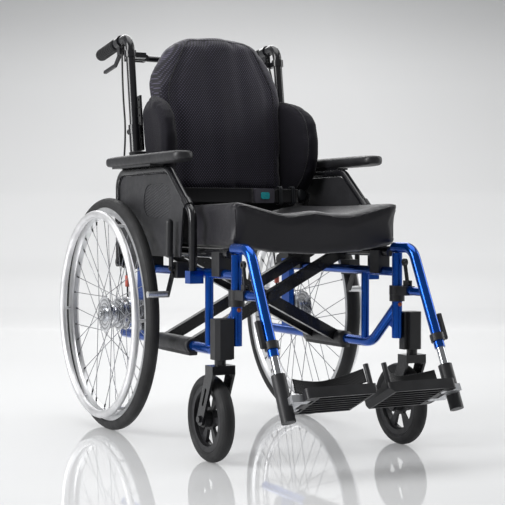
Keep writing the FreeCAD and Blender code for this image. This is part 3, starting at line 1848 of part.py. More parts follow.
# Armrest hoop, pad and side panel
def armrest():
    x = d.arm_half
    rear, front = d.arm_pivot_behind, -d.arm_foot_forward
    top, bend = 2 * d.wheel_radius + d.arm_above_tyre, -d.arm_front_top_forward
    points = [
        at(x, rear, d.arm_pivot_height),
        at(x, rear, top),
        at(x, bend, top),
        at(x, front, top - d.arm_knee_drop),
        at(x, front, d.arm_foot_height),
    ]
    hoop = bent_tube("arm_hoop", points, [d.arm_bend, d.arm_bend, d.arm_bend], "arm_tube_radius")
    eye_start = d.lug_half + d.lug_thickness + d.seat_gap
    eye = rod(
        "arm_eye",
        "arm_eye_radius",
        "arm_half + arm_tube_radius - lug_half - lug_thickness - seat_gap - overrun",
        at(eye_start, rear, d.arm_pivot_height),
        X,
    )
    run = (points[3] - points[2]) * d.arm_collar_share
    down = (points[3] - points[2]).normalize()
    collar = rod(
        "arm_collar",
        "joint_collar_radius",
        "joint_collar_length",
        points[2] + run - down * d.joint_collar_length,
        down,
    )
    plate = block(
        "pad_plate",
        "pad_half + pad_plate_width / 2 - arm_half",
        "pad_plate_length",
        "pad_plate_height",
        at(
            x,
            (rear + bend) / 2 - d.pad_plate_length / 2,
            top + d.arm_tube_radius - d.overrun / 2,
        ),
    )
    pivot_bore = rod(
        "arm_pivot_bore",
        "arm_pivot_radius + running_gap",
        "2 * arm_half - 2 * lug_half",
        at(d.lug_half, rear, d.arm_pivot_height),
        X,
    )
    left["armrest_frame"] = cut("armrest_frame_left", fused("arm_body", hoop, eye, collar, plate), pivot_bore)

    foot = top + d.arm_tube_radius - d.overrun / 2 + d.pad_plate_height + d.running_gap
    w, c = d.pad_width / 2, d.pad_corner
    low, high = -d.pad_front_forward, d.pad_rear_behind
    near = c * (1 - math.sqrt(0.5))
    body = new_body("armrest_pad_left", Placement(at(d.pad_half, 0, foot), Rotation()))
    outline = [
        (-w + c, low),
        (w - c, low),
        (w - near, low + near, w, low + c),
        (w, high - c),
        (w - near, high - near, w - c, high),
        (-w + c, high),
        (-w + near, high - near, -w, high - c),
        (-w, low + c),
        (-w + near, low + near, -w + c, low),
    ]
    pad(body, sketch(body, "XY_Plane", outline_edges(outline)), "pad_thickness")
    doc.recompute()
    slab = body.Tip
    lift = d.pad_thickness - d.running_gap
    edges = [f"Edge{k + 1}" for k, edge in enumerate(slab.Shape.Edges) if edge.BoundBox.ZMin > lift]
    soft = body.newObject("PartDesign::Fillet", "pad_edge_round")
    soft.Base = (slab, edges)
    bind(soft, Radius="pad_edge")
    body.Tip = soft
    left["armrest_pad"] = body

    gap = d.arm_tube_radius + d.seat_gap
    back, head = rear - gap, top - gap
    lean_y, lean_z = front - bend, -d.arm_knee_drop
    scale = gap / math.hypot(lean_y, lean_z)
    edge_y, edge_z = bend - lean_z * scale, top + lean_y * scale

    def under_hoop(height):
        return edge_y + (height - edge_z) * lean_y / lean_z

    round_ = d.arm_bend - gap
    near = round_ * (1 - math.sqrt(0.5))
    drop = -lean_z / math.hypot(lean_y, lean_z)
    clip = d.arm_bend * math.tan(math.asin(drop) / 2)
    outline = [
        (-d.panel_front_forward, d.panel_foot),
        (back, d.panel_foot),
        (back, head - round_),
        (back - near, head - near, back - round_, head),
        (under_hoop(head) + clip, head),
        (under_hoop(head - clip * drop), head - clip * drop),
        (under_hoop(d.panel_brow_height), d.panel_brow_height),
        (-d.panel_front_forward - d.pad_corner / 2, d.panel_waist_height),
    ]
    panel = new_body("side_panel_left", Placement(at(x, 0, 0), Rotation()))
    pad(panel, sketch(panel, "YZ_Plane", outline_edges(outline)), "panel_thickness", symmetric=True)
    mid = (-d.panel_recess_forward, d.panel_recess_height)
    recess = slot_outline(
        mid,
        (1, 0),
        2 * d.panel_recess_half_length,
        2 * d.panel_recess_half_height,
    )
    face = sketch(panel, "YZ_Plane", outline_edges(recess), lift=d.panel_thickness / 2)
    pocket(panel, face, "panel_recess")
    left["side_panel"] = panel


# Parking brake lever and shoe
def parking_brake():
    y, z = -d.park_pivot_forward, d.park_pivot_height
    half = d.park_plate_half_width
    start = d.brake_body_outer + d.shoe_arm_thickness + 2 * d.slide_gap
    strip = block(
        "park_strip",
        "park_plate_thickness",
        "2 * park_plate_half_width",
        "park_grip_foot - park_pivot_height + 3 * overrun",
        at(start, y - half, z),
    )
    boss = rod("park_boss", "park_plate_half_width", "park_plate_thickness", at(start, y, z), X)
    grip_foot = at(d.park_lever_half, y, d.park_grip_foot)
    grip_top = at(d.park_lever_half, y - d.park_grip_lean / 4, d.park_grip_head)
    grip = doc.addObject("Part::Cylinder", "park_grip")
    bind(grip, Radius="park_grip_radius")
    grip.Height = (grip_top - grip_foot).Length
    grip.Placement = Placement(grip_foot, Rotation(Z, grip_top - grip_foot))
    cap = doc.addObject("Part::Sphere", "park_grip_cap")
    bind(cap, Radius="park_grip_radius")
    cap.Placement = Placement(grip_top, Rotation())
    bore = rod(
        "park_bore",
        "park_pin_radius + running_gap",
        "2 * park_plate_thickness",
        at(start - d.overrun, y, z),
        X,
    )
    body = fused("park_lever_body", strip, boss, grip, cap)
    left["parking_lever"] = cut("parking_lever_left", body, bore)

    y, z = -d.shoe_pivot_forward, d.shoe_pivot_height
    reach = d.wheel_radius + d.shoe_gap + d.shoe_radius
    shoe_y = -math.sqrt(reach**2 - (d.shoe_height - d.wheel_radius) ** 2)
    start = d.brake_body_outer + d.slide_gap
    pivot, foot = at(start, y, z), at(start, shoe_y, d.shoe_height)
    turn = Rotation(X, 180 + math.degrees(math.atan2(foot.y - pivot.y, pivot.z - foot.z)))
    arm = doc.addObject("Part::Box", "shoe_arm")
    bind(arm, Length="shoe_arm_thickness", Width="2 * shoe_arm_half_width")
    arm.Height = (foot - pivot).Length
    arm.Placement = Placement(pivot - turn.multVec(Y) * d.shoe_arm_half_width, turn)
    hub = rod("shoe_boss", "shoe_arm_half_width", "shoe_arm_thickness", pivot, X)
    roller = rod("shoe_roller", "shoe_radius", "shoe_outer - brake_body_outer - slide_gap", foot, X)
    bore = rod(
        "shoe_bore",
        "park_pin_radius + running_gap",
        "2 * shoe_arm_thickness",
        pivot - X * d.overrun,
        X,
    )
    left["parking_shoe"] = cut("parking_shoe_left", fused("shoe_body", arm, hub, roller), bore)


# Seat: sling, contoured cushion and pelvic belt
seat_foot = d.seat_rail_height + d.side_tube_radius + d.sling_thickness + 2 * d.seat_gap


def strip_wire(steps, place):
    """A closed wire from an outline, with each of its points sent through place."""
    edges, here = [], steps[0]
    for step in steps[1:] + steps[:1]:
        if step == here:
            continue
        if len(step) == 2:
            edges.append(Part.LineSegment(place(*here), place(*step)).toShape())
            here = step
        else:
            edges.append(Part.Arc(place(*here), place(*step[:2]), place(*step[2:])).toShape())
            here = step[2:]
    return Part.Wire(edges)


def lofted(name, wires):
    """A solid through closed wires in order."""
    sections = [shaped(f"{name}_section", wire) for wire in wires]
    item = doc.addObject("Part::Loft", name)
    item.Sections = sections
    item.Solid = True
    item.Ruled = True
    return item


def seat_section(forward, half, foot, side_top, trough_top):
    """One slice of the seat cushion: drawn-in sides, raised edges and a flat trough."""
    r, t = d.seat_corner, d.seat_trough_half
    near = r * (1 - math.sqrt(0.5))
    low = half - d.seat_draw
    crown = d.seat_crown
    right = [
        (low - r, foot),
        (low - near, foot + near, low, foot + r),
        ((low + half) / 2 + crown / 4, (foot + side_top) / 2, half, side_top - r),
        (half - near, side_top - near, half - r, side_top),
        ((half + t) / 2, (side_top + trough_top) / 2 + crown / 2, t, trough_top),
    ]
    mirror = []
    for k in range(len(right) - 1, 0, -1):
        step, before = right[k], right[k - 1]
        end = before[-2:]
        mirror.append((-step[0], step[1], -end[0], end[1]))
    outline = right + [(0, trough_top + crown / 4, -t, trough_top)] + mirror
    return strip_wire(outline, lambda x, z: at(x, -forward, z))


def seat():
    shared["seat_sling"] = block(
        "seat_sling",
        "2 * sling_half",
        "seat_rail_front_forward - seat_rail_rear_forward",
        "sling_thickness",
        at(
            -d.sling_half,
            -d.seat_rail_front_forward,
            d.seat_rail_height + d.side_tube_radius + d.seat_gap,
        ),
    )
    front, rear = d.seat_front_forward, d.seat_rear_forward
    top, deep, crown = d.seat_height, d.seat_trough, d.seat_crown
    half, lip = d.seat_half, d.seat_lip
    sections = [
        seat_section(rear, half - crown, seat_foot + crown, top - 2 * crown, top - deep - crown),
        seat_section(rear + crown, half - crown / 4, seat_foot, top - crown, top - deep),
        seat_section((front + rear) / 2, half, seat_foot, top - crown / 2, top - deep - crown),
        seat_section(front - lip, half, seat_foot, top, top - deep),
        seat_section(front - crown / 2, half - crown / 4, seat_foot + 2 * lip, top - crown / 2, top - deep),
        seat_section(front, half - crown, seat_foot + 2 * lip + crown, top - crown, top - deep - crown / 2),
    ]
    shared["seat_cushion"] = lofted("seat_cushion", sections)

    half, tail = d.belt_tail_half, d.belt_tail_half - d.belt_thickness / 2
    side, middle = axle_y - d.belt_side_forward, axle_y - d.belt_middle_forward
    band = new_body("belt_band", Placement(Vector(0, 0, d.belt_foot), Rotation()))
    pad(
        band,
        sketch(
            band,
            "XY_Plane",
            arc_band((-half, side), (0, middle), (half, side), d.belt_thickness),
        ),
        "belt_width",
    )
    tails = [
        block(
            "belt_tail",
            "belt_thickness",
            "belt_tail_depth",
            "belt_foot + belt_width - belt_tail_foot",
            at(x, -d.belt_side_forward - d.belt_tail_depth / 2, d.belt_tail_foot),
        )
        for x in (tail, -tail - d.belt_thickness)
    ]
    circle = Part.Circle(Vector(-half, side, 0), Vector(0, middle, 0), Vector(half, side, 0))
    centre, r = circle.Center, circle.Radius
    angle = math.degrees(math.asin(d.buckle_place / r))
    turn = Rotation(Z, angle)
    height = d.belt_foot + d.belt_width / 2
    buckle_centre = Vector(centre.x, centre.y, height) + turn.multVec(-Y) * r
    buckle_place = Placement(buckle_centre, turn)
    gap = block(
        "buckle_space",
        "buckle_length + 2 * seat_gap",
        "2 * buckle_thickness",
        "2 * belt_width",
        buckle_place.multVec(
            Vector(-d.buckle_length / 2 - d.seat_gap, -d.buckle_thickness, -d.belt_width)
        ),
        turn,
    )
    shared["pelvic_belt"] = cut("pelvic_belt", fused("belt_body", band, *tails), gap)

    w, h, c = d.buckle_length / 2, d.buckle_height / 2, d.buckle_corner
    near = c * (1 - math.sqrt(0.5))

    def rounded(w, h, c, near):
        return [
            (-w + c, -h),
            (w - c, -h),
            (w - near, -h + near, w, -h + c),
            (w, h - c),
            (w - near, h - near, w - c, h),
            (-w + c, h),
            (-w + near, h - near, -w, h - c),
            (-w, -h + c),
            (-w + near, -h + near, -w + c, -h),
        ]

    buckle = new_body("belt_buckle", buckle_place)
    pad(
        buckle,
        sketch(buckle, "XZ_Plane", outline_edges(rounded(w, h, c, near))),
        "buckle_thickness",
        symmetric=True,
    )
    g = d.slide_gap
    bw, bh = d.button_length / 2, d.button_height / 2
    hole = outline_edges(rounded(bw + g, bh + g, c + g, near + g * (1 - math.sqrt(0.5))))
    face = sketch(buckle, "XZ_Plane", hole, lift=d.buckle_thickness / 2)
    pocket(buckle, face, "button_depth + button_stand")
    shared["belt_buckle"] = buckle
    button = new_body("buckle_button", buckle_place)
    lift = d.buckle_thickness / 2 - d.button_depth
    face = sketch(button, "XZ_Plane", outline_edges(rounded(bw, bh, c, near)), lift=lift)
    pad(button, face, "button_depth + button_stand")
    shared["buckle_button"] = button


# Backrest: tension straps and cushion with side wings
def back_section(up, half, reach, hollow, crown):
    """One slice of the back cushion: side wings around a hollow with a crowned middle."""
    rear = -d.back_rear - d.seat_gap
    r = d.wing_round
    near = r * (1 - math.sqrt(0.5))
    tip, inner = -reach, half - d.wing_thickness
    face = tip + r + hollow
    right = [
        (half - r, rear),
        (half - near, rear - near, half, rear - r),
        (half + r / 6, (rear + tip) / 2, half, tip + r),
        (half - near, tip + near, half - r, tip),
        (inner + r, tip),
        (inner + near, tip + near, inner, tip + r),
        (inner - d.overrun, face),
    ]
    mirror = []
    for k in range(len(right) - 1, 0, -1):
        step, end = right[k], right[k - 1][-2:]
        if len(step) == 4:
            mirror.append((-step[0], step[1], -end[0], end[1]))
        else:
            mirror.append((-end[0], end[1]))
    outline = right + [(0, face - crown, d.overrun - inner, face)] + mirror
    return strip_wire(outline, lambda x, back: cane_point(x, back, up))


def backrest():
    bands = []
    tops = d.sleeve_radius + d.slide_gap
    for k in range(int(d.back_bands)):
        up = d.back_band_first + k * d.back_band_pitch
        strap = block(
            "back_band",
            "2 * cane_half",
            "strap_band_thickness",
            "strap_band_height",
            cane_point(-d.cane_half, -tops - d.strap_band_thickness, up),
            CANE_TURN,
        )
        loops = []
        bores = []
        for x in (-d.cane_half, d.cane_half):
            loops.append(
                rod(
                    "band_loop",
                    "sleeve_radius + slide_gap + strap_band_thickness",
                    "strap_band_height",
                    cane_point(x, 0, up),
                    CANE_UP,
                )
            )
            bores.append(
                rod(
                    "band_bore",
                    "sleeve_radius + slide_gap",
                    "2 * strap_band_height",
                    cane_point(x, 0, up - d.strap_band_height / 2),
                    CANE_UP,
                )
            )
        bands.append(cut("looped_band", fused("band_body", strap, *loops), *bores))
    shared["back_straps"] = group("back_straps", *bands)

    foot, head, step = d.back_foot, d.back_head, d.back_step
    thick, reach, plump = d.back_thickness, d.wing_reach, d.back_crown
    full, waist, shoulder, crown = d.wing_half, d.waist_half, d.shoulder_half, d.crown_half
    deep = reach - thick - d.back_rear
    sections = [
        back_section(foot, waist, thick, d.overrun, plump),
        back_section(foot + step, waist + plump / 2, thick + 2 * plump, plump, plump),
        back_section(foot + 2 * step, full - plump / 2, reach - plump, deep - plump, plump),
        back_section(foot + 5 * step, full, reach, deep, plump),
        back_section(foot + 6 * step, full - plump / 2, reach - plump, deep - plump, plump),
        back_section(foot + d.wing_end_rise, waist + plump, thick + 2 * plump, plump, plump),
        back_section(foot + d.waist_rise, waist, thick + plump, d.overrun, plump),
        back_section(head - d.shoulder_drop, shoulder + plump / 2, thick + plump, d.overrun, plump),
        back_section(head - d.brow_drop, shoulder - plump, thick + plump / 2, d.overrun, plump),
        back_section(head, crown, thick, d.overrun, plump),
    ]
    shared["back_cushion"] = lofted("back_cushion", sections)


# Brake cable from the lever housing to the drum
def cable():
    start = cane_point(d.cane_half, d.housing_start + d.overrun, cane_top - d.lever_drop)
    out = d.cable_half
    points = [
        start,
        at(out, d.cable_first_behind, d.cane_top_height - d.cable_first_drop),
        at(out, d.cable_second_behind, d.cane_top_height - d.cable_second_drop),
        at(d.cable_low_half, d.cable_loop_behind, d.cable_loop_height),
        at(d.cable_low_half, d.cable_foot_behind, d.cable_turn_height),
        at(d.cable_low_half, d.cable_foot_behind, d.cable_foot_height),
    ]
    radii = []
    for k in range(1, len(points) - 1):
        before, after = points[k - 1] - points[k], points[k + 1] - points[k]
        half_turn = (math.pi - before.getAngle(after)) / 2
        radii.append(0.45 * min(before.Length, after.Length) / math.tan(half_turn))
    left["brake_cable"] = bent_tube("brake_cable_left", points, radii, "cable_radius")


side_frame()
fittings()
axle_assembly()
rear_wheel()
caster()
hanger()
footrest()
footplate()
cross_brace()
handles()
armrest()
parking_brake()
seat()
backrest()
cable()
doc.recompute()

nodes = dict(shared)
for name, item in left.items():
    nodes[f"{name}_left"] = item
    nodes[f"{name}_right"] = mirrored(f"{name}_right", item)
doc.recompute()

for item in doc.Objects:
    if "Invalid" in item.State or "Error" in item.State:
        raise RuntimeError(f"{item.Name} did not compute: {item.State}")

os.makedirs("parts", exist_ok=True)
for name, item in nodes.items():
    item.Label = name
    if item.Shape.isNull() or not item.Shape.isValid():
        raise RuntimeError(f"{name} has no valid shape")
    item.Shape.exportStep(f"parts/{name}.step")
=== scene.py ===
import math

import bmesh
import bpy
import numpy as np
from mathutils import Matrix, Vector
from mathutils.bvhtree import BVHTree


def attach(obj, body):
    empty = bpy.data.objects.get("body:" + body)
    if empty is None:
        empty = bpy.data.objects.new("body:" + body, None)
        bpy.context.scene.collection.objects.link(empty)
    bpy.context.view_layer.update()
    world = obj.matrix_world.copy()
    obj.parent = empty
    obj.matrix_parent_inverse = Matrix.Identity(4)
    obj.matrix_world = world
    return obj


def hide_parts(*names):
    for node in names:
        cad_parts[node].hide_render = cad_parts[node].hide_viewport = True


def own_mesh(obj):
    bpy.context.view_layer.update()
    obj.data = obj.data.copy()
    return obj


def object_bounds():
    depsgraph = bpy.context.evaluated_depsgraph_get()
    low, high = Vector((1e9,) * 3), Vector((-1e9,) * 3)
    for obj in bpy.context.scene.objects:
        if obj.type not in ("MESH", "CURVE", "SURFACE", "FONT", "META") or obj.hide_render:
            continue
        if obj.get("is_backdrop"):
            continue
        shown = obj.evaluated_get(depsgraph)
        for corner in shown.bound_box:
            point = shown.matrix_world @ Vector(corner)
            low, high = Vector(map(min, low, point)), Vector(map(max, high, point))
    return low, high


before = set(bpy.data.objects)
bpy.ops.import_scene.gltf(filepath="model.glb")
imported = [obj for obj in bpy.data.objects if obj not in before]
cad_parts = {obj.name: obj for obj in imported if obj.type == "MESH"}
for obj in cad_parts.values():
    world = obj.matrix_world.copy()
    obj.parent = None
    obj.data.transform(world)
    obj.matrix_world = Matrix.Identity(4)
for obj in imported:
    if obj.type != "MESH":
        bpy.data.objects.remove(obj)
cad_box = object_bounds()

# The axle line lies this far behind the middle of the chair
AXLE_Y = 0.284112
WHEEL_RADIUS = 0.305
# Half widths to the frame tubes and to the canes, and the heights of the lower tubes and the sling
FRAME_HALF = 0.2176
CANE_HALF = 0.2235
LOWER_TUBE_Z = 0.248
CABLE_HALF = 0.228
SLING_Z = 0.4862
SIDES = (("left", 1), ("right", -1))

# The canes lean back: a point is given by x, how far behind the cane line, and how far up
CANE_LEAN = math.radians(7.9)
CANE_FOOT = Vector((0, AXLE_Y - 0.065299, 0.446))
CANE_UP = Vector((0, math.sin(CANE_LEAN), math.cos(CANE_LEAN)))
CANE_BACK = Vector((0, math.cos(CANE_LEAN), -math.sin(CANE_LEAN)))

# The hangers and footplates slope forward
HANGER_SLANT = math.radians(26)


def on_cane(x, back, up):
    return Vector((x, 0, 0)) + CANE_FOOT + CANE_BACK * back + CANE_UP * up


def smooth(a, b, t):
    """0 below a, 1 above b, and a soft step between them."""
    u = min(max((t - a) / (b - a), 0), 1)
    return u * u * (3 - 2 * u)


# Materials
class Shader:
    """A Principled material whose colour, roughness and bump come from a few noise nodes."""

    def __init__(self, name, colour, roughness, metallic=0.0, coat=0.0, sheen=0.0, specular=0.5):
        self.material = bpy.data.materials.new(name)
        self.material.use_nodes = True
        self.nodes = self.material.node_tree.nodes
        self.links = self.material.node_tree.links
        self.shader = self.nodes["Principled BSDF"]
        self.colour = colour
        self.roughness = roughness
        self.normal = None
        self.set("Base Color", (*colour, 1))
        self.set("Roughness", roughness)
        self.set("Metallic", metallic)
        self.set("Coat Weight", coat)
        self.set("Coat Roughness", 0.06)
        self.set("Sheen Weight", sheen)
        self.set("Sheen Roughness", 0.4)
        self.set("Specular IOR Level", specular)
        self.place = self.nodes.new("ShaderNodeTexCoord").outputs["Object"]

    def set(self, socket, value):
        self.shader.inputs[socket].default_value = value

    def math(self, kind, a, b=None):
        node = self.nodes.new("ShaderNodeMath")
        node.operation = kind
        for socket, value in zip(node.inputs, (a, b)):
            if value is None:
                continue
            if isinstance(value, (int, float)):
                socket.default_value = value
            else:
                self.links.new(value, socket)
        return node.outputs[0]

    def times(self, a, b):
        return self.math("MULTIPLY", a, b)

    def wave(self, value, turns, kind="SINE"):
        return self.math(kind, self.times(value, turns))

    def axes(self):
        node = self.nodes.new("ShaderNodeSeparateXYZ")
        self.links.new(self.place, node.inputs[0])
        return node.outputs

    def stretched(self, sizes):
        node = self.nodes.new("ShaderNodeMapping")
        node.inputs["Scale"].default_value = sizes
        self.links.new(self.place, node.inputs["Vector"])
        return node.outputs[0]

    def noise(self, scale, detail=3.0, place=None):
        node = self.nodes.new("ShaderNodeTexNoise")
        node.inputs["Scale"].default_value = scale
        node.inputs["Detail"].default_value = detail
        self.links.new(place or self.place, node.inputs["Vector"])
        return node.outputs["Fac"]

    def remap(self, value, low, high, to_low, to_high):
        node = self.nodes.new("ShaderNodeMapRange")
        limits = {"From Min": low, "From Max": high, "To Min": to_low, "To Max": to_high}
        for socket, number in limits.items():
            node.inputs[socket].default_value = number
        self.links.new(value, node.inputs["Value"])
        return node.outputs[0]

    def ramp(self, value, stops):
        node = self.nodes.new("ShaderNodeValToRGB")
        elements = node.color_ramp.elements
        for k, (place, level) in enumerate(stops):
            element = elements[k] if k < 2 else elements.new(place)
            element.position = place
            element.color = (level, level, level, 1)
        self.links.new(value, node.inputs[0])
        return node.outputs[0]

    def vary_colour(self, value, darker, lighter):
        """The base colour times darker where value is 0, and times lighter where it is 1."""
        node = self.nodes.new("ShaderNodeMix")
        node.data_type = "RGBA"
        self.links.new(value, node.inputs["Factor"])
        colours = [s for s in node.inputs if s.type == "RGBA"]
        colours[0].default_value = (*[min(c * darker, 1) for c in self.colour], 1)
        colours[1].default_value = (*[min(c * lighter, 1) for c in self.colour], 1)
        out = [s for s in node.outputs if s.type == "RGBA"][0]
        self.links.new(out, self.shader.inputs["Base Color"])
        return self

    def mottle(self, scale, detail, darker, lighter, edge=0.35):
        """Cloudy patches of a darker and a lighter base colour."""
        cloud = self.remap(self.noise(scale, detail), edge, 1 - edge, 0, 1)
        return self.vary_colour(cloud, darker, lighter)

    def vary_roughness(self, value, spread):
        low, high = max(self.roughness - spread, 0.02), min(self.roughness + spread, 1)
        self.links.new(self.remap(value, 0.3, 0.7, low, high), self.shader.inputs["Roughness"])
        return self

    def bump(self, value, strength, distance):
        node = self.nodes.new("ShaderNodeBump")
        node.inputs["Strength"].default_value = strength
        node.inputs["Distance"].default_value = distance
        self.links.new(value, node.inputs["Height"])
        if self.normal:
            self.links.new(self.normal, node.inputs["Normal"])
        self.normal = node.outputs[0]
        self.links.new(self.normal, self.shader.inputs["Normal"])
        return self


def painted(name, colour, roughness, coat, specular, metallic=0.0):
    """Sprayed enamel: faint orange peel, a few dust specks and soft wear."""
    s = Shader(name, colour, roughness, metallic=metallic, coat=coat, specular=specular)
    s.mottle(9, 4, 0.86, 1.12)
    s.vary_roughness(s.noise(30, 4), 0.05)
    return s.bump(s.noise(900, 2), 0.15, 0.0004).material


def moulded(name, colour, roughness, grain=1500, depth=0.35, specular=0.45):
    """Moulded plastic with a fine spark-eroded grain."""
    s = Shader(name, colour, roughness, specular=specular)
    s.mottle(14, 4, 0.8, 1.2)
    s.vary_roughness(s.noise(55, 3), 0.07)
    return s.bump(s.noise(grain, 2), depth, 0.0003).material


def ribbed_plastic(name, colour, roughness):
    """Moulded plastic with slanted grip ribs, with painted shade between the ribs and painted
    highlights on their crests.
    """
    s = Shader(name, colour, roughness, specular=0.45)
    _, y, z = s.axes()
    shaded_ribs = s.wave(s.math("ADD", z, s.times(y, 0.32)), math.tau / 0.0075)
    # Painted shade between the ribs and painted highlights on the rib crests
    s.vary_colour(s.remap(shaded_ribs, -1, 1, 0, 1), 0.72, 1.35)
    s.vary_roughness(s.noise(55, 3), 0.07)
    return s.bump(shaded_ribs, 0.6, 0.0012).material


def metal(name, colour, roughness, scratch=0.12):
    """Bare or anodised metal with faint scratches."""
    s = Shader(name, colour, roughness, metallic=1.0)
    marks = s.noise(420, 4)
    s.mottle(18, 3, 0.88, 1.06)
    s.vary_roughness(marks, 0.07)
    return s.bump(marks, scratch, 0.0002).material


def turned_metal(name, colour, roughness):
    """Polished hub metal with lathe rings about the axle, and painted shade in the ring troughs and
    in the grooves between flanges.
    """
    s = Shader(name, colour, roughness, metallic=1.0)
    x, y, z = s.axes()
    dy, dz = s.math("SUBTRACT", y, AXLE_Y), s.math("SUBTRACT", z, WHEEL_RADIUS)
    radius = s.math("SQRT", s.math("ADD", s.times(dy, dy), s.times(dz, dz)))
    rings = s.wave(radius, 620)
    groove_shade = s.wave(s.math("ABSOLUTE", x), 520)
    # Painted shade: the base colour darkens in the lathe ring troughs and in the grooves between
    # the flanges
    lathe_and_groove_shade = s.times(s.remap(rings, -0.9, 0.0, 0.35, 1), s.remap(groove_shade, -0.9, -0.2, 0.4, 1))
    s.vary_colour(lathe_and_groove_shade, 0.30, 1.3)
    s.vary_roughness(s.noise(60, 3), 0.06)
    s.bump(rings, 0.5, 0.0009)
    return s.bump(groove_shade, 0.3, 0.0006).material


def diamond_mesh(name, colour, pitch, rise, lighter, sheen=0.3):
    """Spacer mesh: staggered rows of small threads with painted highlights around diamond holes
    with painted shade.
    """
    s = Shader(name, colour, 0.68, sheen=sheen, specular=sheen)
    x, y, z = s.axes()
    across = s.math("ADD", x, s.times(y, 0.45))
    columns = s.wave(across, math.tau / pitch, "COSINE")
    shaded_weave = s.times(columns, s.wave(z, math.tau / rise, "COSINE"))
    # Painted highlights on the threads and painted shade in the diamond holes between them
    lit_threads = s.remap(shaded_weave, 0.15, 0.75, 0, 1)
    drift = s.remap(s.noise(5, 4), 0.35, 0.65, 0.35, 1)
    s.vary_colour(s.times(lit_threads, drift), 0.75, lighter)
    s.bump(shaded_weave, 0.5, 0.0006)
    return s.bump(s.noise(900, 2), 0.3, 0.0003).material


def coated_cloth(name, colour, roughness):
    """Stretch cloth with a smooth coating: fine knit and long soft creases."""
    s = Shader(name, colour, roughness, sheen=0.25, specular=0.4)
    x, y, z = s.axes()
    slanted = s.math("SUBTRACT", z, s.times(y, 0.4))
    knit = s.times(s.wave(s.math("ADD", x, y), 4200), s.wave(slanted, 4200))
    s.mottle(6, 5, 0.78, 1.28, edge=0.3)
    s.vary_roughness(s.noise(25, 3), 0.06)
    s.bump(s.noise(5, 3, s.stretched((1, 2.2, 1))), 0.5, 0.006)
    return s.bump(knit, 0.2, 0.0002).material


def webbing(name, colour, along="x"):
    """Woven tape: ribs across the band and a slight thread pattern, with painted shade in the
    hollows of the weave and painted highlights on its crests.
    """
    s = Shader(name, colour, 0.75, sheen=0.3, specular=0.3)
    x, y, z = s.axes()
    level = s.math("ADD", x, y)
    run, cross = (level, z) if along == "x" else (z, level)
    shaded_ribs, threads = s.wave(run, 2600), s.wave(cross, 5200)
    shaded_weave = s.math("ADD", s.times(shaded_ribs, 0.7), s.times(threads, 0.3))
    # Painted shade in the hollows of the weave and painted highlights on its crests
    s.vary_colour(s.remap(shaded_weave, -1, 1, 0, 1), 0.75, 1.3)
    s.bump(shaded_weave, 0.5, 0.0004)
    return s.bump(s.noise(60, 3), 0.25, 0.001).material


def tyre_rubber(name, colour):
    """Rubber with a fine rib around the tread, a bloom of grey and small scuffs."""
    s = Shader(name, colour, 0.62, specular=0.35)
    s.mottle(11, 5, 0.75, 1.35, edge=0.3)
    s.vary_roughness(s.noise(40, 4), 0.09)
    s.bump(s.wave(s.axes()[0], 1500), 0.25, 0.0005)
    return s.bump(s.noise(700, 3), 0.3, 0.0004).material


BLUE = painted("blue_paint", (0.0, 0.072, 0.40), 0.17, 0.3, specular=0.3, metallic=0.8)
BLACK_METAL = painted("black_metal", (0.010, 0.010, 0.012), 0.24, 0.28, specular=0.4)
BLACK_PLASTIC = moulded("black_plastic", (0.016, 0.016, 0.018), 0.42)
GREY_PLASTIC = moulded("side_panel_plastic", (0.028, 0.028, 0.031), 0.45)
PANEL_RIBS = ribbed_plastic("panel_ribs", (0.030, 0.030, 0.033), 0.42)
PLATE_PLASTIC = moulded("footplate_plastic", (0.018, 0.018, 0.02), 0.36)
GRIP = moulded("grip_rubber", (0.012, 0.012, 0.013), 0.55, grain=700, depth=0.5)
TYRE = tyre_rubber("tyre_rubber", (0.02, 0.02, 0.021))
CASTER_TYRE = tyre_rubber("caster_tyre_rubber", (0.017, 0.017, 0.018))
ALUMINIUM = metal("satin_aluminium", (0.78, 0.79, 0.8), 0.32)
RIM = metal("rim_aluminium", (0.70, 0.705, 0.715), 0.42)
HAND_RIM = metal("hand_rim_aluminium", (0.80, 0.80, 0.81), 0.5, scratch=0.3)
STEEL = metal("spoke_steel", (0.30, 0.305, 0.32), 0.30)
CHROME = metal("chrome", (0.50, 0.51, 0.53), 0.11, scratch=0.05)
HUB = turned_metal("hub_metal", (0.60, 0.61, 0.63), 0.2)
CAST = metal("cast_aluminium", (0.62, 0.63, 0.65), 0.42, scratch=0.5)
PLUG = moulded("orange_plug", (0.42, 0.085, 0.02), 0.5)
TEAL = moulded("teal_button", (0.02, 0.45, 0.50), 0.28, depth=0.15)
BUCKLE = moulded("buckle_plastic", (0.03, 0.032, 0.036), 0.35)
BUCKLE_FACE = moulded("buckle_face", (0.085, 0.080, 0.100), 0.34)
PAD_SKIN = moulded("armrest_skin", (0.016, 0.016, 0.018), 0.44, grain=900, depth=0.4)
MESH = diamond_mesh("back_mesh", (0.0125, 0.0112, 0.0178), 0.0068, 0.0088, 7.0)
WING = diamond_mesh("wing_mesh", (0.0072, 0.0064, 0.0105), 0.0034, 0.0044, 2.0, sheen=0.12)
SEAT = coated_cloth("seat_cover", (0.0064, 0.0056, 0.0092), 0.37)
SLING = webbing("sling_cloth", (0.012, 0.012, 0.013))
WEB = webbing("black_webbing", (0.015, 0.015, 0.017))
HEEL = webbing("heel_webbing", (0.012, 0.012, 0.013))
PIPING = webbing("piping_cord", (0.012, 0.012, 0.014), "z")
CABLE = moulded("cable_jacket", (0.012, 0.012, 0.013), 0.4)
CABLE_END = moulded("red_cable_end", (0.5, 0.1, 0.07), 0.45)


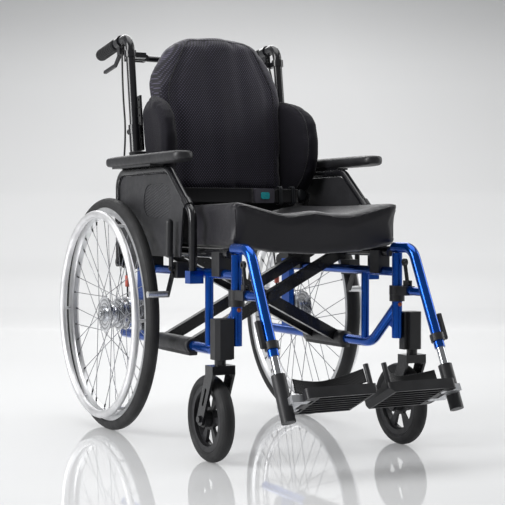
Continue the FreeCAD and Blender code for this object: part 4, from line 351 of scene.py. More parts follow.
# Materials of the CAD nodes
def paint(node, material, *rules):
    """Gives a CAD node its material, and others to the faces whose middle a rule accepts."""
    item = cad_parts[node]
    mesh = item.data
    mesh.materials.clear()
    mesh.materials.append(material)
    for other, _ in rules:
        mesh.materials.append(other)
    middles = np.empty(len(mesh.polygons) * 3)
    mesh.polygons.foreach_get("center", middles)
    middles = middles.reshape(-1, 3)
    index = np.zeros(len(middles), dtype=np.int32)
    for k, (_, accepts) in enumerate(rules):
        index[accepts(middles)] = k + 1
    mesh.polygons.foreach_set("material_index", index)
    mesh.update()
    return item


def near_axle(low, high):
    def accepts(p):
        r = np.hypot(p[:, 1] - AXLE_Y, p[:, 2] - WHEEL_RADIUS)
        return (r >= low) & (r < high)
    return accepts


# The hanger tube's axis: its rear end, its corner and its open end, as (y, z)
HANGER_END = (AXLE_Y - 0.770813, 0.2586)
HANGER_TOP = 0.4858


def near_line(points, radius):
    """Accepts faces that lie no further than radius from a run of straight lines."""
    corners = np.array([tuple(p) for p in points])

    def accepts(p):
        nearest = np.full(len(p), 1e9)
        for a, b in zip(corners, corners[1:]):
            run = b - a
            t = np.clip(((p - a) @ run) / (run @ run), 0, 1)
            nearest = np.minimum(nearest, np.linalg.norm(p - (a + t[:, None] * run), axis=1))
        return nearest <= radius
    return accepts


def within(x0, x1, y0, y1, z0, z1):
    """Accepts faces inside a box that is given for the left side, on both sides."""
    def accepts(p):
        x = np.abs(p[:, 0])
        inside = (x > x0) & (x < x1) & (p[:, 1] > AXLE_Y + y0) & (p[:, 1] < AXLE_Y + y1)
        return inside & (p[:, 2] > z0) & (p[:, 2] < z1)
    return accepts


def on_hanger(x, distance):
    """A place on the hanger tube's axis, this far below its open end."""
    y, z = HANGER_END
    return Vector((x, y - distance * math.sin(HANGER_SLANT), z - distance * math.cos(HANGER_SLANT)))


def hanger_path(x):
    """The hanger tube's axis with its bend."""
    turn = math.pi / 2 - HANGER_SLANT
    tangent = 0.044 * math.tan(turn / 2)
    y, z = AXLE_Y - 0.660 + tangent, HANGER_TOP - 0.044
    turns = np.linspace(0, turn, 9)
    bend = [Vector((x, y - 0.044 * math.sin(a), z + 0.044 * math.cos(a))) for a in turns]
    return [Vector((x, AXLE_Y - 0.590, HANGER_TOP))] + bend + [on_hanger(x, 0)]


PLAIN = {
    "side_frame": BLUE,
    "frame_fittings": BLACK_PLASTIC,
    "axle_and_brake_plate": HUB,
    "rear_tyre": TYRE,
    "hand_rim": HAND_RIM,
    "caster_fork": BLACK_METAL,
    "caster_tyre": CASTER_TYRE,
    "caster_core": BLACK_PLASTIC,
    "hanger_tube": BLACK_PLASTIC,
    "hanger_latch": BLACK_METAL,
    "clamp_lever": BLACK_PLASTIC,
    "footrest_tube": CAST,
    "footplate": PLATE_PLASTIC,
    "heel_strap": HEEL,
    "back_post": BLACK_METAL,
    "handle_grip": GRIP,
    "attendant_lever": BLACK_PLASTIC,
    "armrest_frame": BLACK_METAL,
    "armrest_pad": PAD_SKIN,
    "side_panel": GREY_PLASTIC,
    "parking_lever": BLACK_PLASTIC,
    "parking_shoe": BLACK_METAL,
    "brake_cable": CABLE,
    "push_handle": BLACK_METAL,
}
SINGLE = {
    "brace_a": BLACK_METAL,
    "brace_b": BLACK_METAL,
    "stabiliser_bar": BLACK_METAL,
    "seat_sling": SLING,
    "seat_cushion": SEAT,
    "pelvic_belt": WEB,
    "belt_buckle": BUCKLE_FACE,
    "buckle_button": TEAL,
    "back_straps": WEB,
    "back_cushion": MESH,
}
for side, sign in SIDES:
    for stem, material in PLAIN.items():
        paint(f"{stem}_{side}", material)
    x = sign * FRAME_HALF
    hook = [Vector((x, AXLE_Y - 0.651, 0.383)), Vector((x, AXLE_Y - 0.712, 0.383))]
    paint(
        f"hanger_tube_{side}",
        BLACK_PLASTIC,
        (BLUE, near_line(hanger_path(x), 0.0131)),
        (BLUE, near_line(hook, 0.0115)),
    )
    paint(
        f"footrest_tube_{side}",
        CAST,
        (BLACK_PLASTIC, near_line([on_hanger(x, 0.040), on_hanger(x, 0.150)], 0.0168)),
        (CHROME, near_line([on_hanger(x, -0.15), on_hanger(x, 0.0415)], 0.0105)),
    )
    socket = within(0.226, 0.268, -0.450, -0.418, 0.400, 0.4335)
    paint(f"frame_fittings_{side}", BLACK_PLASTIC, (BLUE, socket))
    paint(f"parking_shoe_{side}", BLACK_METAL, (ALUMINIUM, within(0.2635, 0.4, -1, 0, 0.3, 0.5)))
    recess = within(0.2500, 0.2511, -0.4, 0.0, 0.47, 0.66)
    paint(f"side_panel_{side}", GREY_PLASTIC, (PANEL_RIBS, recess))
    spokes, hub = near_axle(0.06, 0.255), near_axle(0, 0.0605)
    paint(f"rear_rim_and_spokes_{side}", RIM, (STEEL, spokes), (HUB, hub))
for node, material in SINGLE.items():
    paint(node, material)
for node, x in (("brace_a", -FRAME_HALF), ("brace_b", FRAME_HALF)):
    tube = [Vector((x, AXLE_Y - 0.372, LOWER_TUBE_Z)), Vector((x, AXLE_Y - 0.172, LOWER_TUBE_Z))]
    paint(node, BLACK_METAL, (BLACK_PLASTIC, near_line(tube, 0.028)))


# Builders of trim and soft goods
def linked(name, data):
    item = bpy.data.objects.new(name, data)
    bpy.context.scene.collection.objects.link(item)
    return item


def piece(name, points, faces, material):
    mesh = bpy.data.meshes.new(name)
    mesh.from_pydata([tuple(p) for p in points], [], faces)
    mesh.update()
    mesh.polygons.foreach_set("use_smooth", [True] * len(mesh.polygons))
    mesh.materials.append(material)
    return linked(name, mesh)


def skin(first, count, rows):
    """Faces over rows of count points, from the point first on, with both ends closed."""
    faces = []
    for k in range(rows - 1):
        for j in range(count):
            a, b = first + k * count + j, first + k * count + (j + 1) % count
            faces.append((a, b, b + count, a + count))
    last = first + (rows - 1) * count
    faces.append(tuple(range(first, first + count))[::-1])
    faces.append(tuple(range(last, last + count)))
    return faces


def circle(count):
    return [(math.cos(a), math.sin(a)) for a in np.linspace(0, math.tau, count, endpoint=False)]


def loft(name, rings, material):
    """A closed skin through rings that all have the same number of points."""
    points = [p for ring in rings for p in ring]
    item = piece(name, points, skin(0, len(rings[0]), len(rings)), material)
    bm = bmesh.new()
    bm.from_mesh(item.data)
    bmesh.ops.recalc_face_normals(bm, faces=bm.faces)
    bm.to_mesh(item.data)
    bm.free()
    return item


def carried(items, body):
    """The pieces ride a body of the frame."""
    for item in items:
        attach(item, body)


def apply_modifiers(item):
    graph = bpy.context.evaluated_depsgraph_get()
    mesh = bpy.data.meshes.new_from_object(item.evaluated_get(graph), depsgraph=graph)
    old = item.data
    item.modifiers.clear()
    item.data = mesh
    mesh.name = item.name
    bpy.data.meshes.remove(old)
    return item


def read_points(mesh):
    points = np.empty(len(mesh.vertices) * 3)
    mesh.vertices.foreach_get("co", points)
    return points.reshape(-1, 3)


def write_points(mesh, points):
    mesh.vertices.foreach_set("co", np.asarray(points, dtype=np.float32).ravel())
    mesh.update()


def remeshed(item, voxel):
    change = item.modifiers.new("remesh", "REMESH")
    change.mode = "VOXEL"
    change.voxel_size = voxel
    change.use_smooth_shade = True
    return apply_modifiers(item)


def plump(item, voxel, pressure, cap, shrink=0.02):
    """Remeshes a cover and blows it up a little as cloth, with no point moving further than cap."""
    remeshed(item, voxel)
    before = read_points(item.data)
    change = item.modifiers.new("cloth", "CLOTH")
    settings = change.settings
    settings.quality = 6
    settings.mass = 0.3
    settings.tension_stiffness = 18
    settings.compression_stiffness = 18
    settings.shear_stiffness = 8
    settings.bending_stiffness = 0.6
    settings.use_pressure = True
    settings.uniform_pressure_force = pressure
    settings.shrink_min = -shrink
    settings.effector_weights.gravity = 0
    change.collision_settings.use_collision = False
    scene = bpy.context.scene
    frames = 18
    change.point_cache.frame_start = 1
    change.point_cache.frame_end = frames
    for k in range(1, frames + 1):
        scene.frame_set(k)
    graph = bpy.context.evaluated_depsgraph_get()
    after = read_points(item.evaluated_get(graph).data)
    item.modifiers.clear()
    scene.frame_set(1)
    moved = after - before
    far = np.linalg.norm(moved, axis=1, keepdims=True)
    moved *= np.minimum(1, cap / np.maximum(far, 1e-9))
    write_points(item.data, before + moved)
    return item


def softened(item, passes=4):
    """Evens out the voxel steps and adds one subdivision."""
    ease = item.modifiers.new("ease", "CORRECTIVE_SMOOTH")
    ease.iterations = passes
    ease.use_only_smooth = True
    divide = item.modifiers.new("divide", "SUBSURF")
    divide.levels = divide.render_levels = 1
    return apply_modifiers(item)


def tube(name, path, radius, material, sides):
    """A round cord through the points of path. The radius may depend on the share of the way."""
    path = [Vector(p) for p in path]
    count = len(path)
    rings = []
    normal = None
    for k, p in enumerate(path):
        before = path[k - 1] if k else p
        after = path[k + 1] if k < count - 1 else p
        ahead = (after - before).normalized()
        if normal is None:
            normal = ahead.orthogonal().normalized()
        normal = (normal - ahead * normal.dot(ahead)).normalized()
        other = ahead.cross(normal)
        r = radius(k / (count - 1)) if callable(radius) else radius
        rings.append([p + (normal * c + other * s) * r for c, s in circle(sides)])
    return loft(name, rings, material)


def band(name, path, across, width, thickness, material, edge=0.0006):
    """Flat webbing along path, width wide in the direction across, with thicker woven edges."""
    path = [Vector(p) for p in path]
    rings = []
    shares = (-0.5, -0.485, -0.44, -0.39, 0, 0.39, 0.44, 0.485, 0.5)
    for k, p in enumerate(path):
        ahead = (path[min(k + 1, len(path) - 1)] - path[max(k - 1, 0)]).normalized()
        side = across[k] if isinstance(across, list) else Vector(across)
        side = (side - ahead * side.dot(ahead)).normalized()
        out = ahead.cross(side)
        front, rear = [], []
        for share in shares:
            rise = thickness / 2 + (edge if 0.4 < abs(share) < 0.49 else 0)
            if abs(share) == 0.5:
                rise = thickness / 5
            front.append(p + side * (share * width) + out * rise)
            rear.append(p + side * (share * width) - out * rise)
        rings.append(front + rear[::-1])
    return loft(name, rings, material)


def between(points, steps):
    """A smooth run through points, with steps new points for each gap."""
    points = [Vector(p) for p in points]
    run = []
    for k in range(len(points) - 1):
        p0, p1 = points[max(k - 1, 0)], points[k]
        p2, p3 = points[k + 1], points[min(k + 2, len(points) - 1)]
        for j in range(steps):
            t = j / steps
            run.append(
                0.5 * ((2 * p1) + (p2 - p0) * t + (2 * p0 - 5 * p1 + 4 * p2 - p3) * t * t
                + (3 * p1 - p0 - 3 * p2 + p3) * t * t * t)
            )
    run.append(points[-1])
    return run


def arc(share):
    """The height of a quarter circle at a share of its radius."""
    return math.sqrt(max(0, 1 - (1 - min(share, 1)) ** 2))


def hit(tree, start, direction):
    return tree.ray_cast(start, direction)[0]


def surface(item):
    points = [v.co.copy() for v in item.data.vertices]
    return BVHTree.FromPolygons(points, [tuple(f.vertices) for f in item.data.polygons])


def laid(tree, starts, aim, lift):
    """Points just above a cover, where rays from starts meet it."""
    places = [hit(tree, start, aim) for start in starts]
    return [place - aim * lift for place in places if place is not None]


# Seat cushion: raised edges around a trough, an upright front and drawn-in sides
SEAT_FRONT = AXLE_Y - 0.598
SEAT_REAR = AXLE_Y - 0.098
SEAT_FOOT = 0.4885
SEAT_TOP = 0.5915
SEAT_HALF = 0.223


def seat_top(x, y):
    """How far the cushion's upper face lies below its raised edges."""
    ahead = (y - SEAT_FRONT) / (SEAT_REAR - SEAT_FRONT)
    ridge = min(max((abs(x) - 0.086) / 0.128, 0), 1)
    ridge = 0.75 * ridge + 0.25 * smooth(0, 1, ridge)
    hump = 0.007 * math.exp(-(((x + 0.012) / 0.040) ** 2)) * (1 - smooth(0.0, 0.5, ahead))
    dish = 0.006 * math.sin(math.pi * min(max(ahead, 0), 1)) * (1 - 0.6 * ridge)
    return 0.0265 * (1 - ridge) - hump + dish


def box_section(half, low, high, corner, steps):
    """An upright rectangle with small round corners, as (across, height), evenly stepped."""
    points = []
    for cx, cz, first in (
        (half - corner, high - corner, 0.0),
        (-half + corner, high - corner, 0.5),
        (-half + corner, low + corner, 1.0),
        (half - corner, low + corner, 1.5),
    ):
        points += [
            (cx + corner * math.cos(a), cz + corner * math.sin(a))
            for a in np.linspace(first * math.pi, (first + 0.5) * math.pi, 6)
        ]
    points.append(points[0])
    run = []
    for (x0, z0), (x1, z1) in zip(points, points[1:]):
        count = max(1, round(math.hypot(x1 - x0, z1 - z0) / steps))
        run += [(x0 + (x1 - x0) * k / count, z0 + (z1 - z0) * k / count) for k in range(count)]
    return run


def seat_cushion():
    rings = []
    length = SEAT_REAR - SEAT_FRONT
    outline = box_section(SEAT_HALF, SEAT_FOOT, SEAT_TOP, 0.008, 0.009)
    spots = [0.0, 0.002, 0.006, 0.012, 0.02, 0.03, 0.045]
    spots += list(np.linspace(0.065, length - 0.03, 26)) + [length - 0.016, length - 0.006, length]
    for ahead in spots:
        behind = length - ahead
        y = SEAT_FRONT + ahead
        pull = 0.010 * (1 - arc(ahead / 0.010)) + 0.012 * (1 - arc(behind / 0.012))
        ring = []
        for x, z in outline:
            up = (z - SEAT_FOOT) / (SEAT_TOP - SEAT_FOOT)
            share = x / SEAT_HALF
            top = SEAT_TOP - seat_top(x, y) - pull * 0.6
            lip = 0.016 * (1 - share * share) * (1 - smooth(0.020, 0.032, ahead))
            low = SEAT_FOOT - lip + pull + 0.010 * (1 - smooth(0.0, 0.030, ahead)) * abs(share) ** 6
            height = low + (top - low) * up
            side = 0.007 * math.sin(math.pi * up) * abs(share) ** 8
            lean = 0.012 * (1 - up) * (1 - smooth(0, 0.06, ahead))
            across = x * (1 - pull / SEAT_HALF) - math.copysign(side, x)
            ring.append(Vector((across, y + lean, height)))
        rings.append(ring)
    item = loft("seat_cushion_cover", rings, SEAT)
    plump(item, 0.0055, 2.0, 0.0022, shrink=0.004)
    softened(item, passes=1)
    made = [item]
    # The welted seam runs along the upper front edge and down both front corners
    tree = surface(item)
    before, above, beside = SEAT_FRONT - 0.055, SEAT_TOP + 0.080, SEAT_HALF + 0.06

    def welt(name, starts, aim, radius):
        path = laid(tree, starts, Vector(aim).normalized(), 0.0002)
        made.append(tube(f"seat_{name}", path, radius, SEAT, 8))

    spots = np.linspace(-0.214, 0.214, 90)
    starts = [Vector((x, before, above - seat_top(x, SEAT_FRONT))) for x in spots]
    welt("front_welt", starts, (0, 0.55, -0.83), 0.0013)
    for name, sign in SIDES[::-1]:
        heights = np.linspace(SEAT_TOP - 0.016, SEAT_FOOT + 0.022, 26)
        starts = [Vector((sign * beside, before, z)) for z in heights]
        welt(f"corner_welt_{name}", starts, (-sign * 0.7, 0.7, 0), 0.0012)
        places = np.linspace(SEAT_FRONT + 0.012, SEAT_REAR - 0.015, 60)
        starts = [Vector((sign * (beside - 0.005), y, SEAT_TOP + 0.048)) for y in places]
        welt(f"side_welt_{name}", starts, (-sign * 0.75, 0, -0.66), 0.0012)
    carried(made, "seat")
    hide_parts("seat_cushion")
    return made


# Back cushion: a shield-shaped pad between two side wings
def back_half(up):
    """Half the pad's width at a height along the canes."""
    places = (0.158, 0.17, 0.2, 0.3, 0.4, 0.43, 0.455, 0.48, 0.505, 0.53, 0.552, 0.57, 0.583, 0.592)
    halves = (162, 177, 185, 190, 194, 195, 190, 178, 163, 148, 134, 118, 100, 82)
    return float(np.interp(up, places, halves)) / 1000


def wing_reach(up):
    places = (0.162, 0.18, 0.21, 0.25, 0.30, 0.345, 0.37, 0.392, 0.410, 0.424, 0.434)
    reaches = (0.110, 0.140, 0.172, 0.192, 0.199, 0.194, 0.179, 0.157, 0.130, 0.100, 0.073)
    return float(np.interp(up, places, reaches))


def wing_section(half):
    """A flat oval with squared corners, as (across, share of the wing's reach)."""
    points = []
    for c, s in circle(48):
        depth = 0.5 + 0.5 * math.copysign(abs(s) ** 0.25, s)
        points.append((half * math.copysign(abs(c) ** 0.25, c), depth))
    return points


def back_cushion():
    made = []
    rings = []
    outline = [(x / 0.19, b / 0.06) for x, b in box_section(0.19, 0.0, 0.06, 0.016, 0.008)]
    ups = [0.158, 0.16, 0.166, 0.176, *np.linspace(0.19, 0.56, 30), 0.57, 0.58, 0.586, 0.59, 0.592]
    for up in ups:
        half = back_half(up)
        edge = min(smooth(0.150, 0.185, up), 1 - 0.6 * smooth(0.560, 0.606, up))
        thick = 0.012 + 0.036 * edge
        shoulder = 0.024 * smooth(0.42, 0.50, up) * (1 - smooth(0.572, 0.602, up))
        ring = []
        for share, b in outline:
            x = share * (half * (1 - 0.065 * b) + shoulder * (1 - b))
            share = abs(share)
            bulge = 0.021 * (1 - share**1.6) - 0.004 * math.exp(-(((share - 0.74) / 0.06) ** 2))
            rib = (0.0022 * math.cos(x * 62) + 0.0012 * math.sin(x * 131 + up * 9)) * (1 - share)
            hollow = 0.006 * smooth(0.35, 0.2, up)
            front = 0.022 + thick + (bulge + rib - hollow) * edge
            back = 0.0205 + (front - 0.0205) * b
            ring.append(on_cane(x, -back, up))
        rings.append(ring)
    pad = loft("back_pad", rings, MESH)
    plump(pad, 0.006, 3.0, 0.006)
    softened(pad)
    made.append(pad)
    inner = 0.174
    ups = [0.162, 0.166, 0.174, *np.linspace(0.185, 0.4, 22), 0.41, 0.418, 0.426, 0.432, 0.436]
    for side, sign in SIDES:
        rings = []
        for up in ups:
            reach = wing_reach(up)
            ends = smooth(0.150, 0.19, up) * (1 - smooth(0.395, 0.446, up))
            thick = 0.018 + 0.017 * ends
            ring = []
            for x, b in wing_section(thick / 2):
                back = 0.0215 + (reach - 0.0215) * b
                flare = 0.019 * b * b
                drop = 0.012 * smooth(0.33, 0.43, up) * (x / thick + 0.5)
                across = sign * (inner + thick / 2 + x + flare)
                ring.append(on_cane(across, -back, up - drop - 0.004))
            rings.append(ring)
        wing = loft(f"back_wing_{side}", rings, WING)
        plump(wing, 0.005, 3.0, 0.004)
        softened(wing)
        made.append(wing)
        # A welt follows the wing's inner edge
        tree = surface(wing)
        path = []
        for t in np.linspace(0, 1, 70):
            a = math.radians(205 - 250 * t)
            middle = on_cane(0, -0.10, 0.30)
            out = CANE_BACK * (-math.sin(a) * 0.30) + CANE_UP * (math.cos(a) * 0.30)
            start = middle + out + Vector((sign * 0.150, 0, 0))
            aim = (middle + Vector((sign * 0.212, 0, 0)) - start).normalized()
            place = hit(tree, start, aim)
            if place is not None and (not path or (place - path[-1]).length < 0.03):
                path.append(place - aim * 0.0003)
        if len(path) > 12:
            made.append(tube(f"wing_welt_{side}", between(path[::3], 3), 0.0012, PIPING, 8))
    # The welt between the mesh panel and its border
    rise = list(np.linspace(0.18, 0.56, 50)) + [0.568, 0.574, 0.578]
    edge = [(0.80 * back_half(up), up) for up in rise]
    top = [(x, 0.5805) for x in np.linspace(0.078, -0.078, 16)]
    starts = [on_cane(x, -0.3, up) for x, up in edge + top + [(-x, up) for x, up in edge[::-1]]]
    path = laid(surface(pad), starts, CANE_BACK, 0.0001)
    made.append(tube("back_panel_welt", path, 0.0011, PIPING, 8))
    carried(made, "frame_right")
    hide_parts("back_cushion")
    return made


def pelvic_belt():
    """Webbing from both sides of the seat to the buckle, with an adjuster and loops."""
    middle_z = 0.616
    side_y, mid_y, half = AXLE_Y - 0.150, AXLE_Y - 0.196, 0.2245
    rise = side_y - mid_y
    radius = (half * half + rise * rise) / (2 * rise)
    centre_y = mid_y + radius

    def spot(x, out=0.0, z=middle_z):
        a = math.asin(x / radius)
        return Vector((math.sin(a) * (radius + out), centre_y - math.cos(a) * (radius + out), z))

    made = []
    strap_z = (0, 0, 1)
    right = [spot(x) for x in np.linspace(-half + 0.012, 0.036, 26)]
    left = [spot(x) for x in np.linspace(0.104, half - 0.012, 16)]
    made.append(band("belt_strap_right", right, strap_z, 0.038, 0.0022, WEB))
    made.append(band("belt_strap_left", left, strap_z, 0.038, 0.0022, WEB))
    for name, sign in SIDES[::-1]:
        x = sign * half
        top = spot(sign * (half - 0.014))
        path = between([
            top,
            Vector((x - sign * 0.002, side_y + 0.002, middle_z - 0.004)),
            Vector((x, side_y + 0.004, 0.590)),
            Vector((x, side_y + 0.002, 0.545)),
            Vector((x, side_y, 0.503)),
        ], 6)
        across = []
        for k in range(len(path)):
            t = smooth(0, 0.45, k / (len(path) - 1))
            across.append((Vector((0, 0, 1)) * (1 - t) + Vector((0, -1, 0)) * t).normalized())
        made.append(band(f"belt_tail_{name}", path, across, 0.03, 0.0022, WEB))
    # A second layer with two keeper loops lies on the strap to the left of the buckle
    layer = [spot(x, 0.003) for x in np.linspace(0.108, 0.186, 10)]
    made.append(band("belt_folded_end", layer, strap_z, 0.036, 0.0022, WEB))
    corners = ((-3.5, -22), (8, -22), (9, 0), (8, 22), (-3.5, 22), (-4.5, 0))
    for k, x in enumerate((0.120, 0.164)):
        ring = [spot(x, out / 1000, middle_z + up / 1000) for out, up in corners]
        ahead = (spot(x + 0.01) - spot(x)).normalized()
        loop = between(ring + ring[:1], 4)
        made.append(band(f"belt_keeper_{k + 1}", loop, ahead, 0.010, 0.002, BUCKLE))
    knob_place = spot(0.2, 0.004, middle_z + 0.004)
    rings = []
    out = (spot(0.2, 1) - spot(0.2)).normalized()
    flat = Vector((0, 0, 1))
    other = out.cross(flat)
    for r, rise in ((4, -2), (17.5, -2), (18.5, 1), (17.5, 5), (11, 7.5), (4, 8)):
        middle = knob_place + out * (rise / 1000)
        rings.append([middle + (flat * c + other * s) * (r / 1000) for c, s in circle(28)])
    made.append(loft("belt_knob", rings, BUCKLE))
    carried(made, "seat")
    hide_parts("pelvic_belt")
    return made


def seat_sling():
    """Cloth laced between the seat tubes, with a small sag and hems at both ends."""
    half, front, rear, height = 0.224, AXLE_Y - 0.564, AXLE_Y - 0.098, SLING_Z
    columns, rows = 40, 30
    points, faces = [], []
    for layer in (0.0007, -0.0007):
        for j in range(rows + 1):
            for k in range(columns + 1):
                x = -half + 2 * half * k / columns
                y = front + (rear - front) * j / rows
                sag = 0.0035 * (1 - (x / half) ** 2) if abs(x) < 0.2 else 0.0
                wave = 0.0006 * math.sin(y * 70) * (1 - (x / half) ** 2)
                points.append(Vector((x, y, height - sag * 0.6 + wave * 0.3 + layer)))
    size = (rows + 1) * (columns + 1)
    for layer in range(2):
        for j in range(rows):
            for k in range(columns):
                a = layer * size + j * (columns + 1) + k
                quad = (a, a + 1, a + columns + 2, a + columns + 1)
                faces.append(quad if layer == 0 else quad[::-1])
    border = list(range(columns + 1))
    border += [j * (columns + 1) + columns for j in range(1, rows + 1)]
    border += [rows * (columns + 1) + k for k in range(columns - 1, -1, -1)]
    border += [j * (columns + 1) for j in range(rows - 1, 0, -1)]
    for k in range(len(border)):
        a, b = border[k], border[(k + 1) % len(border)]
        faces.append((a, a + size, b + size, b))
    item = piece("seat_sling_cloth", points, faces, SLING)
    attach(item, "seat")
    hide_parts("seat_sling")
    hems = []
    for name, y in (("front", front + 0.012), ("rear", rear - 0.012)):
        spots = np.linspace(-half, half, 30)
        path = [Vector((x, y, height - 0.0021 * (1 - (x / half) ** 2) + 0.0002)) for x in spots]
        hems.append(band(f"sling_hem_{name}", path, (0, 1, 0), 0.024, 0.0026, WEB))
    carried(hems, "seat")
    return [item] + hems


def back_straps():
    """Tension straps around the canes, each with a wider sewn patch where it is fastened."""
    made = []
    loop = 0.0165
    turns = np.linspace(-math.pi / 2, math.pi * 0.98, 22)
    left = [(CANE_HALF + loop * math.cos(a), loop * math.sin(a)) for a in turns]
    right = [(-x, b) for x, b in left[::-1]]
    run = [(x, -loop) for x in np.linspace(-CANE_HALF, CANE_HALF, 24)]
    for k in range(3):
        up = 0.133 + 0.066 * k
        path = [on_cane(x, b, up) for x, b in right + run[1:-1] + left]
        made.append(band(f"back_strap_{k + 1}", path, CANE_UP, 0.045, 0.0019, WEB))
        spots = np.linspace(-0.12 + 0.03 * k, -0.02 + 0.03 * k, 10)
        patch = [on_cane(x, -loop - 0.0004, up) for x in spots]
        made.append(band(f"back_strap_patch_{k + 1}", patch, CANE_UP, 0.036, 0.0028, SLING))
    carried(made, "frame_right")
    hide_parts("back_straps")
    return made


def footplate_point(x, behind, up):
    """A place in the footplate, as the frame's own source has it."""
    foot = AXLE_Y + PLATE_BEHIND
    c, s = math.cos(HANGER_SLANT), math.sin(HANGER_SLANT)
    return Vector((x, foot + behind * c + up * s, PLATE_UP - behind * s + up * c))


PLATE_BEHIND = -0.770813 - 0.1147 * math.sin(HANGER_SLANT)
PLATE_UP = 0.2586 - 0.1147 * math.cos(HANGER_SLANT)


def heel_strap(side, sign):
    """A wide band behind the heels, from the peg to the outer end of the plate."""
    path = between([
        footplate_point(sign * 0.0306, -0.042, 0.047),
        footplate_point(sign * 0.065, 0.000, 0.0455),
        footplate_point(sign * 0.105, 0.0205, 0.0445),
        footplate_point(sign * 0.150, 0.0135, 0.0455),
        footplate_point(sign * 0.1855, 0.0, 0.047),
    ], 8)
    up = footplate_point(0, 0, 1) - footplate_point(0, 0, 0)
    strap = band(f"heel_band_{side}", path, up, 0.0315, 0.0024, HEEL)
    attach(strap, f"footplate_{side}")
    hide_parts(f"heel_strap_{side}")
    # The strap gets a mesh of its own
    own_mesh(strap)
    return strap


def armrest_pad(side, sign):
    """Foam pad with a taut skin: rounded in plan at both ends and along its edges."""
    inner, outer, low, high = 0.2400, 0.2935, 0.6912, 0.7155
    front, rear = AXLE_Y - 0.4325, AXLE_Y + 0.030
    middle, half = (inner + outer) / 2, (outer - inner) / 2
    rings = []
    outline = box_section(half, low, high, 0.0075, 0.005)
    length = rear - front
    spots = [0.0, 0.0015, 0.004, 0.008, 0.013, 0.019, 0.026]
    spots = spots + list(np.linspace(0.036, length - 0.036, 40)) + [length - t for t in spots[::-1]]
    for t in spots:
        end = min(t, length - t)
        width = half - 0.022 * (1 - arc(end / 0.026))
        bevel = 0.004 * (1 - smooth(0, 0.02, t)) + 0.003 * (1 - smooth(0, 0.02, length - t))
        nose = 0.003 * (1 - smooth(0, 0.006, end))
        ring = []
        for x, z in outline:
            up = (z - low) / (high - low)
            crown = 0.0012 * (x / half) ** 2 * up
            height = z + bevel * (1 - up) - nose * up - crown
            ring.append(Vector((sign * (middle + x * width / half), front + t, height)))
        rings.append(ring)
    item = loft(f"armrest_pad_cover_{side}", rings, PAD_SKIN)
    plump(item, 0.004, 2.0, 0.002, shrink=0.005)
    softened(item, passes=1)
    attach(item, f"armrest_{side}")
    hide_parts(f"armrest_pad_{side}")
    return item


# Brake cables from the levers down to the drums
def brake_cable(side, sign):
    start = on_cane(sign * CANE_HALF, 0.056, 0.571710)
    points = [
        start,
        Vector((sign * 0.236, AXLE_Y + 0.036, 0.900)),
        Vector((sign * 0.236, AXLE_Y + 0.008, 0.770)),
        Vector((sign * CABLE_HALF, AXLE_Y + 0.084, 0.570)),
        Vector((sign * CABLE_HALF, AXLE_Y + 0.022, 0.420)),
        Vector((sign * CABLE_HALF, AXLE_Y + 0.022, 0.342)),
    ]
    data = bpy.data.curves.new(f"cable_{side}", "CURVE")
    data.dimensions = "3D"
    spline = data.splines.new("NURBS")
    spline.points.add(len(points) - 1)
    for spot, p in zip(spline.points, points):
        spot.co = (*p, 1)
    spline.use_endpoint_u = True
    spline.order_u = 3
    data.bevel_depth = 0.0025
    data.bevel_resolution = 4
    data.resolution_u = 24
    data.materials.append(CABLE)
    item = linked(f"cable_{side}", data)
    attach(item, f"frame_{side}")
    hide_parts(f"brake_cable_{side}")
    return item


def spoke_ends(node):
    """The outer end and direction of each spoke, from the loose parts of the wheel's mesh."""
    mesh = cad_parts[node].data
    points = read_points(mesh)
    parent = list(range(len(points)))

    def root(k):
        while parent[k] != k:
            parent[k] = parent[parent[k]]
            k = parent[k]
        return k

    for edge in mesh.edges:
        a, b = root(edge.vertices[0]), root(edge.vertices[1])
        if a != b:
            parent[a] = b
    parts = {}
    for k in range(len(points)):
        parts.setdefault(root(k), []).append(k)
    ends = []
    for members in parts.values():
        cloud = points[members]
        reach = np.hypot(cloud[:, 1] - AXLE_Y, cloud[:, 2] - WHEEL_RADIUS)
        if reach.max() - reach.min() > 0.15 and len(members) < 400 and reach.min() > 0.01:
            outer = cloud[reach > reach.max() - 0.002].mean(axis=0)
            inner = cloud[reach < reach.min() + 0.002].mean(axis=0)
            run = Vector(inner - outer)
            if run.length < 0.3:
                ends.append((Vector(outer), run.normalized()))
    return ends


def spoke_nipples(side):
    """Dark nipples that hold the spokes in the rim, made as one piece per wheel."""
    points, faces = [], []
    for place, run in spoke_ends(f"rear_rim_and_spokes_{side}"):
        turn = run.to_track_quat("Z", "Y")
        profile = ((0.0005, 0.0016), (0.001, 0.0023), (0.010, 0.0021), (0.0115, 0.0013))
        faces += skin(len(points), 8, len(profile))
        for rise, r in profile:
            points += [place + turn @ Vector((c * r, s * r, rise)) for c, s in circle(8)]
    if not faces:
        return
    item = piece(f"spoke_nipples_{side}", points, faces, BLACK_METAL)
    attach(item, f"rear_wheel_{side}")


def post_plug(side, sign):
    """A small domed plug in the front post, above the lower tube."""
    tree = surface(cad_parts[f"side_frame_{side}"])
    place = hit(tree, Vector((sign * FRAME_HALF, AXLE_Y - 0.70, 0.349)), Vector((0, 1, 0)))
    rings = []
    for r, out in ((0.0048, -0.002), (0.0052, 0.0008), (0.0040, 0.0018), (0.0015, 0.0021)):
        rings.append([place + Vector((c * r, -out, s * r)) for c, s in circle(20)])
    carried([loft(f"post_plug_{side}", rings, PLUG)], f"frame_{side}")


